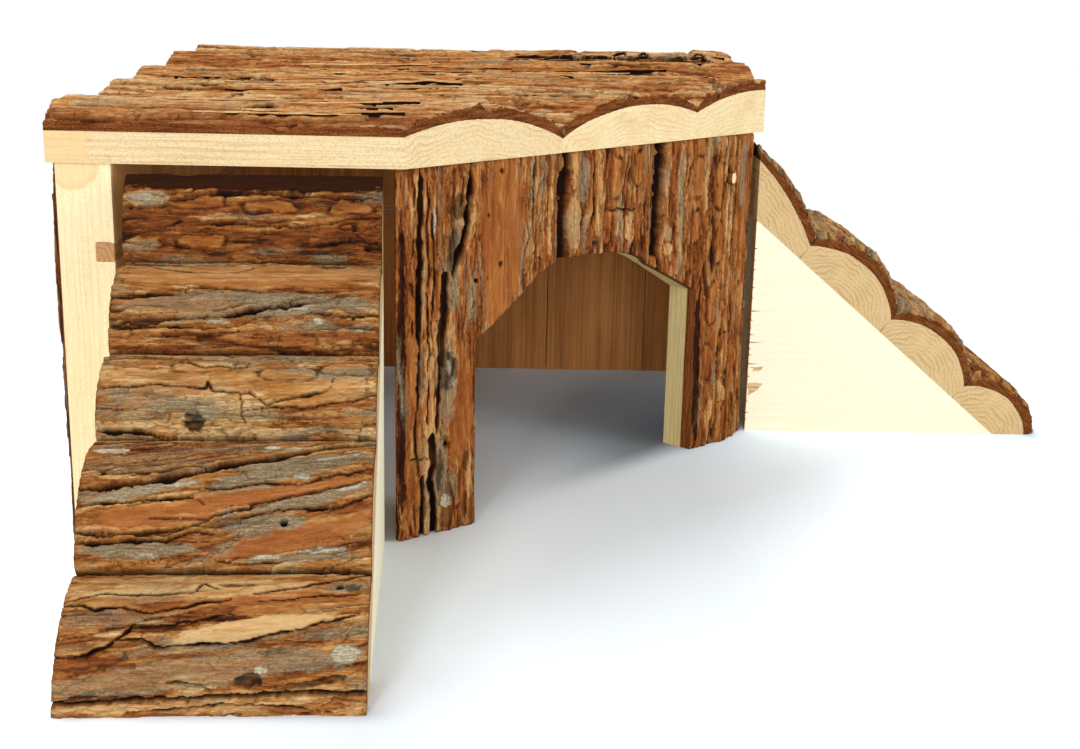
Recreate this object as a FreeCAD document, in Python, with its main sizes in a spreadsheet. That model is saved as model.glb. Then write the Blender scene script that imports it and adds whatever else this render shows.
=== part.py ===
import FreeCAD, Part
import math
import os
import re

import Sketcher
from FreeCAD import Placement, Rotation, Vector

# A corner house for a hamster, built from half-round slabs with their bark on. The roof's grain runs
# left to right, the walls' slabs stand upright with the bark outside. The front right corner of the
# plan is cut off, and a panel with an arched doorway stands under that slanting edge. The two short
# straight sides beside it are open, and a loose wedge-shaped ramp stands in front of each.
#
# +X is to the right, +Y to the back, +Z up. The origin is on the floor, in the middle of the
# rectangle that the house and its two ramps cover.

doc = FreeCAD.newDocument("hamster_house")
sheet = doc.addObject("Spreadsheet::Sheet", "sizes")

SIZES = {
    # the house
    "room_high": 127,        # floor to the underside of the roof
    "wall_thick": 20,        # inner face of the left and back walls to the crown of their bark
    "cut_wide": 137,         # corner cut, along the roof's front edge
    "cut_deep": 143,         # corner cut, along the roof's right edge
    "front_set_back": 1.5,   # left wall behind the roof's front edge
    "back_set_back": 1,      # back wall in front of the roof's back edge
    "right_set_back": 1.5,   # back wall short of the roof's right edge
    # front panel
    "panel_back": 12.5,      # its inner face behind the roof's slanting edge
    "panel_lap": 3.5,        # its left end beyond the corner where the slant begins
    "panel_short": 1.5,      # its right end short of the corner where the slant ends
    "panel_left_edge": 8,
    "panel_right_edge": 9.5,
    # doorway in the front panel
    "door_wide": 124,
    "door_from_right": 41.5, # right jamb to the panel's right corner
    "door_high": 88.5,
    "jamb_high": 66.5,
    "shoulder_high": 82,     # where the shoulders meet the arch
    "arch_wide": 66,
    # sawn edges of the roof and the walls, bark included
    "roof_front_edge": 13,
    "left_front_edge": 19,
    "back_left_edge": 16,
    # battens
    "batten_thick": 6,
    "batten_high": 6.5,
    "left_batten_up": 98.5,  # floor to the middle of the batten
    "back_batten_up": 77,
    "panel_batten_up": 99,
    "panel_batten_end": 22,  # its ends short of the panel's
    "roof_batten_in": 26,    # its middle in from the roof's right edge
    # ramps
    "ramp_base": 107,
    "ramp_high": 91,
    "ramp_wide": 81,
    "ramp_long": 125,        # with the slabs
    "ramp_board": 7,         # thickness of the side boards
    "front_ramp_top_gap": 3, # under the roof
    "right_ramp_top_gap": 7.5,
    "ramp_edge": 11,         # where two of the ramp's slabs meet, bark included
    "front_ramp_gap": 4.9,   # to the left wall
    "front_ramp_out": -0.5,  # its back left corner in front of the roof's edge
    "front_ramp_turn": 2.4,  # degrees, it is set down a little turned
    "right_ramp_in": 1,      # its back inside the roof's edge
    "right_ramp_lead": 2.5,  # its near side in front of the corner where the slant ends
    # plates of thick bark on the roof and the left wall
    "plate_side": 3.5,       # in from the slab's edges
    "plate_between": 3,      # between two side by side
    "plate_gap": 4.5,        # between two that follow one another
    "plate_root": 3,         # how deep they reach into the slab
    # brads
    "brad_wide": 1.6,
    "brad_head_wide": 2.8,
    "brad_head_thick": 0.8,
    "roof_brad_long": 22,
    "batten_brad_long": 12,
    "ramp_brad_long": 17,
    "ramp_top_brad_long": 30,
    "brad_grip": 8,          # how deep a brad goes into the second piece of wood
    "brad_in": 12,           # brads in from the edges of a slab
    "brad_tip": 2,           # from the inner faces of the walls, and from the panel batten's ends
}

# Half-round slabs, no two alike, in the order they lie: width, how far the crown of the bark rises
# above the middle of its two edges, height of the edge that follows. A row's last slab is ripped to
# what is left, unless the row itself sets the length.
SLABS = {
    "roof": [(54, 6.5, 8), (56, 7, 13), (57, 7, 13), (61, 10, 11), (32, 7, 20)],
    "left": [(56.5, 2.2, 13), (57, 5.5, 13), (50, 6, 13), (45, 5, 13), (None, 5, 13.5)],
    "back": [(37, 5, 13), (54, 7, 13), (55, 6.5, 13), (47, 6, 13), (35.5, 6, 12)],
    "panel": [(65, 4.75, 7), (53, 6, 7), (None, 5.5, None)],
    "front_ramp": [(3.5, 4, None), (35, 9, None), (30.5, 7.5, None), (43, 9.5, None), (None, 7, None)],
    "right_ramp": [(24.5, 2.5, None), (47.5, 9.5, None), (44, 9, None), (None, 8, None)],
}
for row, slabs in SLABS.items():
    for i, values in enumerate(slabs, 1):
        for what, size in zip(("wide", "rise", "edge"), values):
            if size is not None:
                SIZES[f"{row}_{i}_{what}"] = size

# Plates of bark that stand proud of the roof and the left wall: length and thickness. They lie in two
# lanes on each slab and follow one another along the grain. Each lane starts with the next plate.
PLATES = {
    "roof": [(74, 1.2), (46, 0.9), (98, 1.4)],
    "left": [(50, 0.8), (31, 0.6), (62, 0.7)],
}
for row, plates in PLATES.items():
    for i, (long, thick) in enumerate(plates, 1):
        SIZES[f"{row}_plate_{i}_long"] = long
        SIZES[f"{row}_plate_{i}_thick"] = thick

# The widest cracks in the bark of a slab: width, depth, and the points they pass through, along the
# grain and across the row.
CRACKS = {
    "roof_2": [(1.6, 1.8, [(0, 84), (22, 79), (52, 78)])],
    "roof_3": [(2.4, 2.4, [(120, 158), (150, 156), (186, 159)])],
    "roof_4": [(3.4, 2.6, [(136, 174), (160, 178), (212, 178)]),
               (2.2, 2.2, [(150, 196), (190, 199), (236, 197)])],
    "roof_5": [(3.4, 2.6, [(158, 233), (200, 237.5), (246, 236)])],
    "panel_1": [(2, 2.8, [(127, 17.3), (59, 18.4), (0, 19.2)])],
    "panel_3": [(2.6, 3, [(127, 168.3), (98, 173.2), (65, 180.8), (27, 183.5), (0, 184)]),
                (1.7, 2.6, [(127, 189.6), (42, 188.9), (0, 188.9)])],
    "front_ramp_2": [(1.6, 2, [(22, 31), (48, 27), (60, 24)])],
    "front_ramp_4": [(2.4, 2.8, [(0, 91.5), (27, 86.5), (62, 74), (81, 71.5)]),
                     (1.4, 1.8, [(0, 105), (34, 102.5), (62, 96)])],
    "front_ramp_5": [(1.2, 1.6, [(0, 135.5), (24, 131), (44, 123.5), (81, 119)]),
                     (1.2, 1.6, [(24, 135.5), (53, 133.5), (81, 126)])],
}
for slab_name, cracks in CRACKS.items():
    for i, (wide, deep, points) in enumerate(cracks, 1):
        SIZES[f"{slab_name}_crack_{i}_wide"] = wide
        SIZES[f"{slab_name}_crack_{i}_deep"] = deep
        for k, (along, across) in enumerate(points, 1):
            SIZES[f"{slab_name}_crack_{i}_{k}_along"] = along
            SIZES[f"{slab_name}_crack_{i}_{k}_across"] = across

for i, (alias, size) in enumerate(SIZES.items(), 1):
    sheet.set(f"A{i}", alias)
    sheet.set(f"B{i}", str(size))
    sheet.setAlias(f"B{i}", alias)
doc.recompute()


def of_sheet(text):
    """The expression with the sheet's name before each alias."""
    return re.sub(r"\b([a-z]+(?:_\w+)+)\b", r"sizes.\1", str(text))


def value(text):
    """What an expression comes to now, in millimetres or degrees."""
    return float(sheet.evalExpression(of_sheet(text)))


def joint(row, i):
    """How far across its row the i-th joint between slabs lies, where the row begins at 0."""
    return "(" + " + ".join(["0"] + [f"{row}_{k}_wide" for k in range(1, i + 1)]) + ")"


# lengths and directions that several pieces share
ROOF_DEEP = joint("roof", 5)
ROOF_WIDE = f"(wall_thick + {joint('back', 5)} + right_set_back)"
SLANT = "sqrt(cut_wide^2 + cut_deep^2)"
SLOPE = "sqrt(ramp_base^2 + ramp_high^2)"
LEFT_LONG = f"({ROOF_DEEP} - front_set_back - back_set_back)"
BACK_IN = f"({ROOF_DEEP} - back_set_back - wall_thick)"
# the middle of the floor rectangle, from the roof's front left corner
RIGHT_RAMP_X = f"({ROOF_WIDE} - right_ramp_in)"
RIGHT_RAMP_Y = "(cut_deep - right_ramp_lead)"
FRONT_RAMP_X = "(wall_thick + front_ramp_gap)"
MID_X = f"(({RIGHT_RAMP_X} + ramp_long) / 2)"
MID_Y = f"(({ROOF_DEEP} - front_ramp_out - ramp_long * cos(front_ramp_turn * 1 deg)) / 2)"


# ---------------------------------------------------------------- helpers


def place(piece, x, y, z="0", turn="0 deg"):
    """Set a piece down at x, y, z from the roof's front left corner on the floor, turned about Z."""
    piece.setExpression("Placement.Base.x", of_sheet(f"{x} - {MID_X}"))
    piece.setExpression("Placement.Base.y", of_sheet(f"{y} - {MID_Y}"))
    piece.setExpression("Placement.Base.z", of_sheet(z))
    piece.setExpression("Placement.Rotation.Angle", of_sheet(turn))


def on_plane(body, plane, name):
    """A sketch on one of the body's own origin planes."""
    sketch = body.newObject("Sketcher::SketchObject", f"{body.Name}_{name}")
    flat = next(o for o in body.Origin.OriginFeatures if o.Role == plane)
    sketch.AttachmentSupport = [(flat, "")]
    sketch.MapMode = "FlatFace"
    return sketch


def pin(sketch, edge, end, x, y):
    """Tie a point of the sketch to two expressions."""
    for kind, axis, text in (("DistanceX", -2, x), ("DistanceY", -1, y)):
        if text == "0":
            sketch.addConstraint(Sketcher.Constraint("PointOnObject", edge, end, axis))
        else:
            k = sketch.addConstraint(Sketcher.Constraint(kind, -1, 1, edge, end, value(text)))
            sketch.setExpression(f"Constraints[{k}]", of_sheet(text))


def outline(sketch, corners, bow=None):
    """A closed outline through the corners. With a bow, given as the index of the edge and the
    point it passes through, that edge is an arc."""
    points = [Vector(value(x), value(y), 0) for x, y in corners]
    count = len(points)
    ends = []
    for k in range(count):
        a, b = points[k], points[(k + 1) % count]
        if bow and bow[0] == k:
            over = Vector(value(bow[1][0]), value(bow[1][1]), 0)
            arc = Part.Arc(a, over, b).toShape().Curve
            first, last = sorted((arc.parameter(a), arc.parameter(b)))
            if not first < arc.parameter(over) < last:
                first, last = last, first + 2 * math.pi
            edge = sketch.addGeometry(Part.ArcOfCircle(arc, first, last))
            starts_at_a = sketch.getPoint(edge, 1).distanceToPoint(a) < 1e-6
            ends.append((edge, 1 if starts_at_a else 2, 2 if starts_at_a else 1))
        else:
            ends.append((sketch.addGeometry(Part.LineSegment(a, b)), 1, 2))
    for k in range(count):
        edge, start, _ = ends[k]
        before, _, finish = ends[k - 1]
        sketch.addConstraint(Sketcher.Constraint("Coincident", before, finish, edge, start))
        pin(sketch, edge, start, *corners[k])
    if bow:
        crown = sketch.addGeometry(Part.Point(over), True)
        sketch.addConstraint(Sketcher.Constraint("PointOnObject", crown, 1, ends[bow[0]][0]))
        pin(sketch, crown, 1, *bow[1])


def slab(name, plane, low_start, top_start, top_end, low_end, rise, long, up=("0", "1"), back=False):
    """A half-round slab: a flat sawn face, two edges and a bowed crown that rises by the given
    amount, along up, above the middle of the edges' top corners. It is long along the grain."""
    body = doc.addObject("PartDesign::Body", name)
    body.Label = name
    section = on_plane(body, plane, "section")
    crown = tuple(f"({a} + {b}) / 2 + {rise} * {u}" for a, b, u in zip(top_start, top_end, up))
    outline(section, [low_start, low_end, top_end, top_start], bow=(2, crown))
    pad = body.newObject("PartDesign::Pad", f"{name}_wood")
    pad.Profile = section
    pad.Reversed = back
    pad.setExpression("Length", of_sheet(long))
    doc.recompute()
    return body


def bark_of(row, i, start, first_edge, end, last_edge, place_at=lambda across, off: (across, off)):
    """The bark of the i-th slab of a row, as a function from a place across the row and a height over
    the bark to a point of the section. It bows up like a parabola."""
    def surface(across, proud):
        t = f"(({across} - {start}) / ({end} - {start}))"
        bow = f"4 * {row}_{i}_rise * {t} * (1 - {t})"
        return place_at(f"({across})", f"({first_edge} + ({last_edge} - {first_edge}) * {t} + {bow} + {proud})")

    return surface


def section_at(body, plane, name, along, corners, bow=None, back=False):
    """A closed outline in the slab's section, so far along its grain."""
    sketch = on_plane(body, plane, name)
    outline(sketch, corners, bow)
    sketch.setExpression("AttachmentOffset.Base.z", of_sheet(f"0 - {along}" if back else along))
    return sketch


def bark_plates(body, plane, row, i, start, end, surface, long):
    """Thick bark on the i-th slab of a row, in two lanes of plates that follow one another."""
    lane_wide = f"(({end} - {start} - 2 * plate_side - plate_between) / 2)"
    for lane in range(2):
        near = f"({start} + plate_side + {lane} * ({lane_wide} + plate_between))"
        far = f"({near} + {lane_wide})"
        at, turn = "0", 2 * i + lane
        while value(f"{long} - {at}") > 2 * value("plate_gap"):
            kind = f"{row}_plate_{turn % len(PLATES[row]) + 1}"
            thick, plate_long = f"{kind}_thick", f"{kind}_long"
            last = value(f"{at} + {plate_long} + plate_gap") > value(long)
            corners = [surface(near, "0 - plate_root"), surface(far, "0 - plate_root"), surface(far, thick),
                       surface(near, thick)]
            bow = (2, surface(f"({near} + {far}) / 2", thick))
            pad = body.newObject("PartDesign::Pad", f"{body.Name}_plate_{lane}_{turn}_bark")
            pad.Profile = section_at(body, plane, f"plate_{lane}_{turn}", at, corners, bow)
            pad.setExpression("Length", of_sheet(f"{long} - {at}" if last else plate_long))
            if last:
                break
            at, turn = f"({at} + {plate_long} + plate_gap)", turn + 1
    doc.recompute()


def bark_cracks(body, plane, slab_name, surface, back=False):
    """The widest cracks in a slab's bark, as grooves with a sharp bottom."""
    for i, (_, _, points) in enumerate(CRACKS.get(slab_name, ()), 1):
        crack = f"{slab_name}_crack_{i}"
        before = body.Shape.Volume
        sections = []
        for k in range(1, len(points) + 1):
            across = f"{crack}_{k}_across"
            corners = [surface(f"{across} - {crack}_wide", f"{crack}_deep"),
                       surface(across, f"0 - {crack}_deep"),
                       surface(f"{across} + {crack}_wide", f"{crack}_deep")]
            sections.append(section_at(body, plane, f"crack_{i}_{k}", f"{crack}_{k}_along", corners, back=back))
        groove = body.newObject("PartDesign::SubtractiveLoft", f"{body.Name}_crack_{i}")
        groove.Profile = sections[0]
        groove.Sections = sections[1:]
        groove.Ruled = True
        doc.recompute()
        if not body.Shape.Volume < before - 1:
            raise RuntimeError(f"{body.Label}: crack {i} removes nothing")


def cut(body, plane, name, corners, deep=None, bow=None, back=False):
    """Saw an outline out of a body, right through or to a depth."""
    before = body.Shape.Volume
    sketch = on_plane(body, plane, name)
    outline(sketch, corners, bow)
    pocket = body.newObject("PartDesign::Pocket", f"{body.Name}_{name}_cut")
    pocket.Profile = sketch
    pocket.Reversed = back
    if deep:
        pocket.setExpression("Length", of_sheet(deep))
    else:
        pocket.Type = "ThroughAll"
    doc.recompute()
    if not body.Shape.Volume < before - 1:
        raise RuntimeError(f"{body.Label}: the {name} cut removes nothing")


def strip(name, long, wide, high):
    """A straight batten."""
    piece = doc.addObject("Part::Box", name)
    piece.Label = name
    piece.setExpression("Length", of_sheet(long))
    piece.setExpression("Width", of_sheet(wide))
    piece.setExpression("Height", of_sheet(high))
    return piece


def brad_at(tip, direction, long):
    """One brad: a shank with its point at tip and a small flat head at the other end."""
    shank = Part.makeCylinder(value("brad_wide") / 2, long, tip, direction)
    head = Part.makeCylinder(value("brad_head_wide") / 2, value("brad_head_thick"),
                             tip + direction * (long - value("brad_head_thick")), direction)
    return shank.fuse(head)


def brads(name, shapes):
    """A group of equal brads, each a solid of its own."""
    group = doc.addObject("Part::Feature", name)
    group.Label = name
    group.Shape = Part.Compound(shapes)
    return group


# ---------------------------------------------------------------- roof

# The slabs lie side by side with their flat faces down. Section in Y and Z, grain along X.
roof = []
for i in range(1, 6):
    before = "roof_front_edge" if i == 1 else f"roof_{i - 1}_edge"
    start, end = joint("roof", i - 1), joint("roof", i)
    start = "0" if i == 1 else start
    piece = slab(f"roof_slab_{i}", "YZ_Plane", (start, "0"), (start, before), (end, f"roof_{i}_edge"),
                 (end, "0"), f"roof_{i}_rise", ROOF_WIDE)
    bark = bark_of("roof", i, start, before, end, f"roof_{i}_edge")
    bark_plates(piece, "YZ_Plane", "roof", i, start, end, bark, ROOF_WIDE)
    bark_cracks(piece, "YZ_Plane", f"roof_{i}", bark)
    if value(start) < value("cut_deep"):
        cut(piece, "XY_Plane", "corner", [(f"{ROOF_WIDE} - cut_wide", "0"), (ROOF_WIDE, "0"),
                                          (ROOF_WIDE, "cut_deep")], back=True)
    place(piece, "0", "0", "room_high")
    roof.append(piece)


# ---------------------------------------------------------------- left and back walls

# Section in X and Y, with X along the wall and Y outwards, grain upright.
def wall(row, name, count, long, first_edge, batten_up, at, turn):
    """A closed wall of upright slabs with a batten let in flush across their inner faces."""
    for i in range(1, count + 1):
        before = first_edge if i == 1 else f"{row}_{i - 1}_edge"
        start = "0" if i == 1 else joint(row, i - 1)
        end = joint(row, i) if i < count else long
        piece = slab(f"{name}_slab_{i}", "XY_Plane", (start, "0"), (start, before),
                     (end, f"{row}_{i}_edge"), (end, "0"), f"{row}_{i}_rise", "room_high")
        if row in PLATES:
            bark = bark_of(row, i, start, before, end, f"{row}_{i}_edge")
            bark_plates(piece, "XY_Plane", row, i, start, end, bark, "room_high")
        low, high = f"{batten_up} - batten_high / 2", f"{batten_up} + batten_high / 2"
        cut(piece, "XZ_Plane", "groove", [("0", low), (long, low), (long, high), ("0", high)],
            deep="batten_thick")
        place(piece, *at, turn=turn)
    return strip(f"{name}_batten", long, "batten_thick", "batten_high")


LEFT_AT = ("wall_thick", "front_set_back")
left_batten = wall("left", "left_wall", 5, LEFT_LONG, "left_front_edge", "left_batten_up", LEFT_AT,
                   "90 deg")
place(left_batten, *LEFT_AT, "left_batten_up - batten_high / 2", "90 deg")

BACK_AT = ("wall_thick", BACK_IN)
back_batten = wall("back", "back_wall", 5, joint("back", 5), "back_left_edge", "back_batten_up",
                   BACK_AT, "0 deg")
place(back_batten, *BACK_AT, "back_batten_up - batten_high / 2")


# ---------------------------------------------------------------- front panel

# The panel stands behind the roof's slanting edge. Its X runs from the right end to the left, its Y
# outwards. Its left end is sawn in line with the open front side.
PANEL_AT = (f"({ROOF_WIDE} - panel_back * cut_deep / {SLANT})",
            f"(cut_deep + panel_back * cut_wide / {SLANT})")
PANEL_TURN = "180 deg + atan(cut_deep / cut_wide)"


def panel_left(off):
    """Where the panel's left end lies at a height above its inner face."""
    return f"({SLANT} * (1 + panel_lap / cut_wide) - (panel_back - {off}) * cut_deep / cut_wide)"


DOOR_RIGHT = "door_from_right"
DOOR_LEFT = "(door_from_right + door_wide)"
DOOR_MID = "(door_from_right + door_wide / 2)"
DOORWAY = [(DOOR_RIGHT, "0"), (DOOR_RIGHT, "jamb_high"), (f"{DOOR_MID} - arch_wide / 2", "shoulder_high"),
           (f"{DOOR_MID} + arch_wide / 2", "shoulder_high"), (DOOR_LEFT, "jamb_high"), (DOOR_LEFT, "0")]

for i in range(1, 4):
    start = "panel_short" if i == 1 else joint("panel", i - 1)
    before = "panel_right_edge" if i == 1 else f"panel_{i - 1}_edge"
    if i < 3:
        low_end, top_end = (joint("panel", i), "0"), (joint("panel", i), f"panel_{i}_edge")
    else:
        low_end, top_end = (panel_left("0"), "0"), (panel_left("panel_left_edge"), "panel_left_edge")
    piece = slab(f"front_panel_slab_{i}", "XY_Plane", (start, "0"), (start, before), top_end, low_end,
                 f"panel_{i}_rise", "room_high")
    bark_cracks(piece, "XY_Plane", f"panel_{i}", bark_of("panel", i, start, before, *top_end))
    cut(piece, "XZ_Plane", "doorway", DOORWAY, bow=(2, (DOOR_MID, "door_high")))
    place(piece, *PANEL_AT, turn=PANEL_TURN)

# a batten on the inner face, above the doorway
panel_batten = strip("front_panel_batten", f"{panel_left('0')} - 2 * panel_batten_end", "batten_thick",
                     "batten_high")
BATTEN_RIGHT = (f"({PANEL_AT[0]} - panel_batten_end * cut_wide / {SLANT}"
                f" - batten_thick * cut_deep / {SLANT})",
                f"({PANEL_AT[1]} - panel_batten_end * cut_deep / {SLANT}"
                f" + batten_thick * cut_wide / {SLANT})")
place(panel_batten, *BATTEN_RIGHT, "panel_batten_up - batten_high / 2", PANEL_TURN)

# a batten under the roof, from the panel to the back wall, holds the slabs' right ends
ROOF_BATTEN_X = f"({ROOF_WIDE} - roof_batten_in - batten_high / 2)"
ROOF_BATTEN_Y = (f"(cut_deep * (1 - (roof_batten_in - batten_high / 2) / cut_wide)"
                 f" + panel_back * {SLANT} / cut_wide)")
roof_batten = strip("roof_batten", "batten_high", f"{BACK_IN} - {ROOF_BATTEN_Y}", "batten_thick")
place(roof_batten, ROOF_BATTEN_X, ROOF_BATTEN_Y, "room_high - batten_thick")


# ---------------------------------------------------------------- ramps

# In a ramp's own frame X runs outwards from its back, Y across it and Z up. Two triangular side boards
# carry slabs nailed across them. The top slab is sawn off upright at the back, the lowest one level
# with the floor.
def on_slope(down, off="0"):
    """A point so far down the slope from its top corner and so far above it, in X and Z."""
    return (f"({down} * ramp_base / {SLOPE} + {off} * ramp_high / {SLOPE})",
            f"(ramp_high - {down} * ramp_high / {SLOPE} + {off} * ramp_base / {SLOPE})")


# the toe of the lowest slab, down the slope and off it
TOE_DOWN = f"({SLOPE} + (ramp_long - ramp_base) * ramp_base / {SLOPE})"
TOE_OFF = f"((ramp_long - ramp_base) * ramp_high / {SLOPE})"


def ramp(name, sides, count, at, turn):
    for side, across in zip(sides, ("0", "(ramp_wide - ramp_board)")):
        board = doc.addObject("PartDesign::Body", f"{name}_{side}_board")
        board.Label = board.Name
        triangle = on_plane(board, "XZ_Plane", "triangle")
        outline(triangle, [("0", "0"), ("ramp_base", "0"), ("0", "ramp_high")])
        pad = board.newObject("PartDesign::Pad", f"{board.Name}_wood")
        pad.Profile = triangle
        pad.Reversed = True
        pad.setExpression("Length", of_sheet("ramp_board"))
        doc.recompute()
        place(board, f"{at[0]} - {across} * sin({turn})", f"{at[1]} + {across} * cos({turn})", turn=turn)
    for i in range(1, count + 1):
        low_start, top_start = on_slope(joint(name, i - 1)), on_slope(joint(name, i - 1), "ramp_edge")
        low_end, top_end = on_slope(joint(name, i)), on_slope(joint(name, i), "ramp_edge")
        if i == 1:
            low_start, top_start = ("0", "ramp_high"), ("0", f"room_high - {name}_top_gap")
        if i == count:
            low_end, top_end = ("ramp_base", "0"), ("ramp_long", "0")
        piece = slab(f"{name}_slab_{i}", "XZ_Plane", low_start, top_start, top_end, low_end,
                     f"{name}_{i}_rise", "ramp_wide", up=(f"ramp_high / {SLOPE}", f"ramp_base / {SLOPE}"),
                     back=True)
        end, last_edge = (TOE_DOWN, TOE_OFF) if i == count else (joint(name, i), "ramp_edge")
        bark = bark_of(name, i, joint(name, i - 1), "ramp_edge", end, last_edge, on_slope)
        bark_cracks(piece, "XZ_Plane", f"{name}_{i}", bark, back=True)
        place(piece, *at, turn=turn)


FRONT_RAMP_AT = (FRONT_RAMP_X, "(0 - front_ramp_out)")
FRONT_RAMP_TURN = "(front_ramp_turn * 1 deg - 90 deg)"
RIGHT_RAMP_AT = (RIGHT_RAMP_X, RIGHT_RAMP_Y)
ramp("front_ramp", ("left", "right"), 5, FRONT_RAMP_AT, FRONT_RAMP_TURN)
ramp("right_ramp", ("near", "far"), 4, RIGHT_RAMP_AT, "0 deg")


# ---------------------------------------------------------------- brads

mid = Vector(value(MID_X), value(MID_Y), 0)
UP = Vector(0, 0, 1)
grip, brad_in, brad_tip = value("brad_grip"), value("brad_in"), value("brad_tip")


def frame_of(at, turn):
    """The placement of a wall, the panel or a ramp."""
    where = Vector(value(at[0]), value(at[1]), 0) - mid
    return Placement(where, Rotation(UP, value(turn)))


# down through the roof slabs into the walls, the front panel and the roof batten
roof_tip = value("room_high") - grip
points = []
for i in range(1, 6):
    for y in (value(joint("roof", i - 1)) + brad_in, value(joint("roof", i)) - brad_in):
        points.append(Vector(value("wall_thick") / 2, y, 0))
for i in range(1, 6):
    middle = (value(joint("back", i - 1)) + value(joint("back", i))) / 2
    points.append(Vector(value("wall_thick") + middle, value(BACK_IN) + value("wall_thick") / 3, 0))
panel_frame = frame_of(PANEL_AT, PANEL_TURN)
panel_joints = [value("panel_short"), value(joint("panel", 1)), value(joint("panel", 2)),
                value(panel_left("0"))]
for start, end in zip(panel_joints, panel_joints[1:]):
    points.append(panel_frame.multVec(Vector((start + end) / 2, value("panel_left_edge"), 0)) + mid)
roof_brads = [brad_at(p - mid + UP * roof_tip, UP, value("roof_brad_long")) for p in points]
brads("roof_brads", roof_brads)

# through the wall and panel slabs into the battens
BATTENS = (
    (frame_of(LEFT_AT, "90 deg"), "left", value(LEFT_LONG), 5, value("left_batten_up"), brad_tip),
    (frame_of(BACK_AT, "0 deg"), "back", value(joint("back", 5)), 5, value("back_batten_up"), brad_tip),
    (panel_frame, "panel", value(panel_left("0")), 3, value("panel_batten_up"),
     brad_tip - value("batten_thick")),
)
batten_brads = []
for frame, row, long, count, high, deep in BATTENS:
    for i in range(1, count + 1):
        start = value(joint(row, i - 1))
        end = long if i == count else value(joint(row, i))
        for x in (start + brad_in, end - brad_in):
            if row == "panel":
                end_in = value("panel_batten_end") + brad_tip
                x = min(max(x, end_in), long - end_in)
            tip = frame.multVec(Vector(x, deep, high))
            outwards = frame.Rotation.multVec(Vector(0, 1, 0))
            batten_brads.append(brad_at(tip, outwards, value("batten_brad_long")))
brads("batten_brads", batten_brads)


# through the ramps' slabs into the side boards
def ramp_brads(name, count, at, turn):
    frame = frame_of(at, turn)
    slope = value(SLOPE)
    along = Vector(value("ramp_base") / slope, 0, -value("ramp_high") / slope)
    out = Vector(value("ramp_high") / slope, 0, value("ramp_base") / slope)
    shapes = []
    for i in range(1, count + 1):
        start = value(joint(name, i - 1))
        end = slope if i == count else value(joint(name, i))
        down = (start + end) / 2 if i < count else start + (end - start) / 4
        for y in (value("ramp_board") / 2, value("ramp_wide") - value("ramp_board") / 2):
            top = Vector(0, y, value("ramp_high"))
            if down > grip:
                tip, direction, long = top + along * down - out * grip, out, value("ramp_brad_long")
            else:  # a sliver at the top is nailed straight down
                tip = top + Vector(2 * value("brad_wide"), 0, -1.5 * grip)
                direction, long = UP, value("ramp_top_brad_long")
            shapes.append(brad_at(frame.multVec(tip), frame.Rotation.multVec(direction), long))
    brads(f"{name}_brads", shapes)


ramp_brads("front_ramp", 5, FRONT_RAMP_AT, FRONT_RAMP_TURN)
ramp_brads("right_ramp", 4, RIGHT_RAMP_AT, "0 deg")


# ---------------------------------------------------------------- check and write

doc.recompute()
for item in doc.Objects:
    if {"Invalid", "Error"} & set(item.State):
        raise RuntimeError(f"{item.Label} failed: {item.State}")

pieces = [o for o in doc.Objects
          if o.isDerivedFrom("PartDesign::Body") or o.TypeId in ("Part::Box", "Part::Feature")]
for piece in pieces:
    if piece.Shape.isNull() or not piece.Shape.isValid():
        raise RuntimeError(f"{piece.Label} has no valid shape")

os.makedirs("parts", exist_ok=True)
for piece in pieces:
    piece.Shape.exportStep(f"parts/{piece.Label}.step")

whole = Part.Compound([piece.Shape for piece in pieces]).BoundBox
print(len(pieces), "pieces, overall", whole)
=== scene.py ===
import math
from types import SimpleNamespace

import bpy
import numpy as np
from mathutils import Matrix, Vector


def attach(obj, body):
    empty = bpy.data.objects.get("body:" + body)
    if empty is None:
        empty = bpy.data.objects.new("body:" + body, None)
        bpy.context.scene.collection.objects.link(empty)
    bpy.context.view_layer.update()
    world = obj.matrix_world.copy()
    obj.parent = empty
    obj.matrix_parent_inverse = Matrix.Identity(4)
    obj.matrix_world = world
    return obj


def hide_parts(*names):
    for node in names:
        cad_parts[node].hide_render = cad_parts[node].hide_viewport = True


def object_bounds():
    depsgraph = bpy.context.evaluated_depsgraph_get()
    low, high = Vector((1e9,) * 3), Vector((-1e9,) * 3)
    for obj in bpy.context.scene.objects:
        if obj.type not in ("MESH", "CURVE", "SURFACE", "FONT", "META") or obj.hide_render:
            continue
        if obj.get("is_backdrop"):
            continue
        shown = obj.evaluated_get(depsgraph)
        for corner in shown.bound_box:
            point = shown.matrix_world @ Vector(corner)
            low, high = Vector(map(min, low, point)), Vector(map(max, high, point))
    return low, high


# The wooden hamster house. Each half-round slab is built again from its own section as a core of
# pale wood and a shell of bark with plates, cracks, fibres and torn ends. Lengths are in millimetres
# until a mesh is made.

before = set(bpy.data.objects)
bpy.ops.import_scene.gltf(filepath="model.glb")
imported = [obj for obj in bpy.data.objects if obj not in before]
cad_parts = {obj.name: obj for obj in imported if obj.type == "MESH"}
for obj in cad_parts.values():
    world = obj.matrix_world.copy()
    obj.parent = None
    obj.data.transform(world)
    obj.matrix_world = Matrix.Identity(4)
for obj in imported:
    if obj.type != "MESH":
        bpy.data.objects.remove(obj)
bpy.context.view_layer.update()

# ---------------------------------------------------------------- sizes, as in the construction

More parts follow.
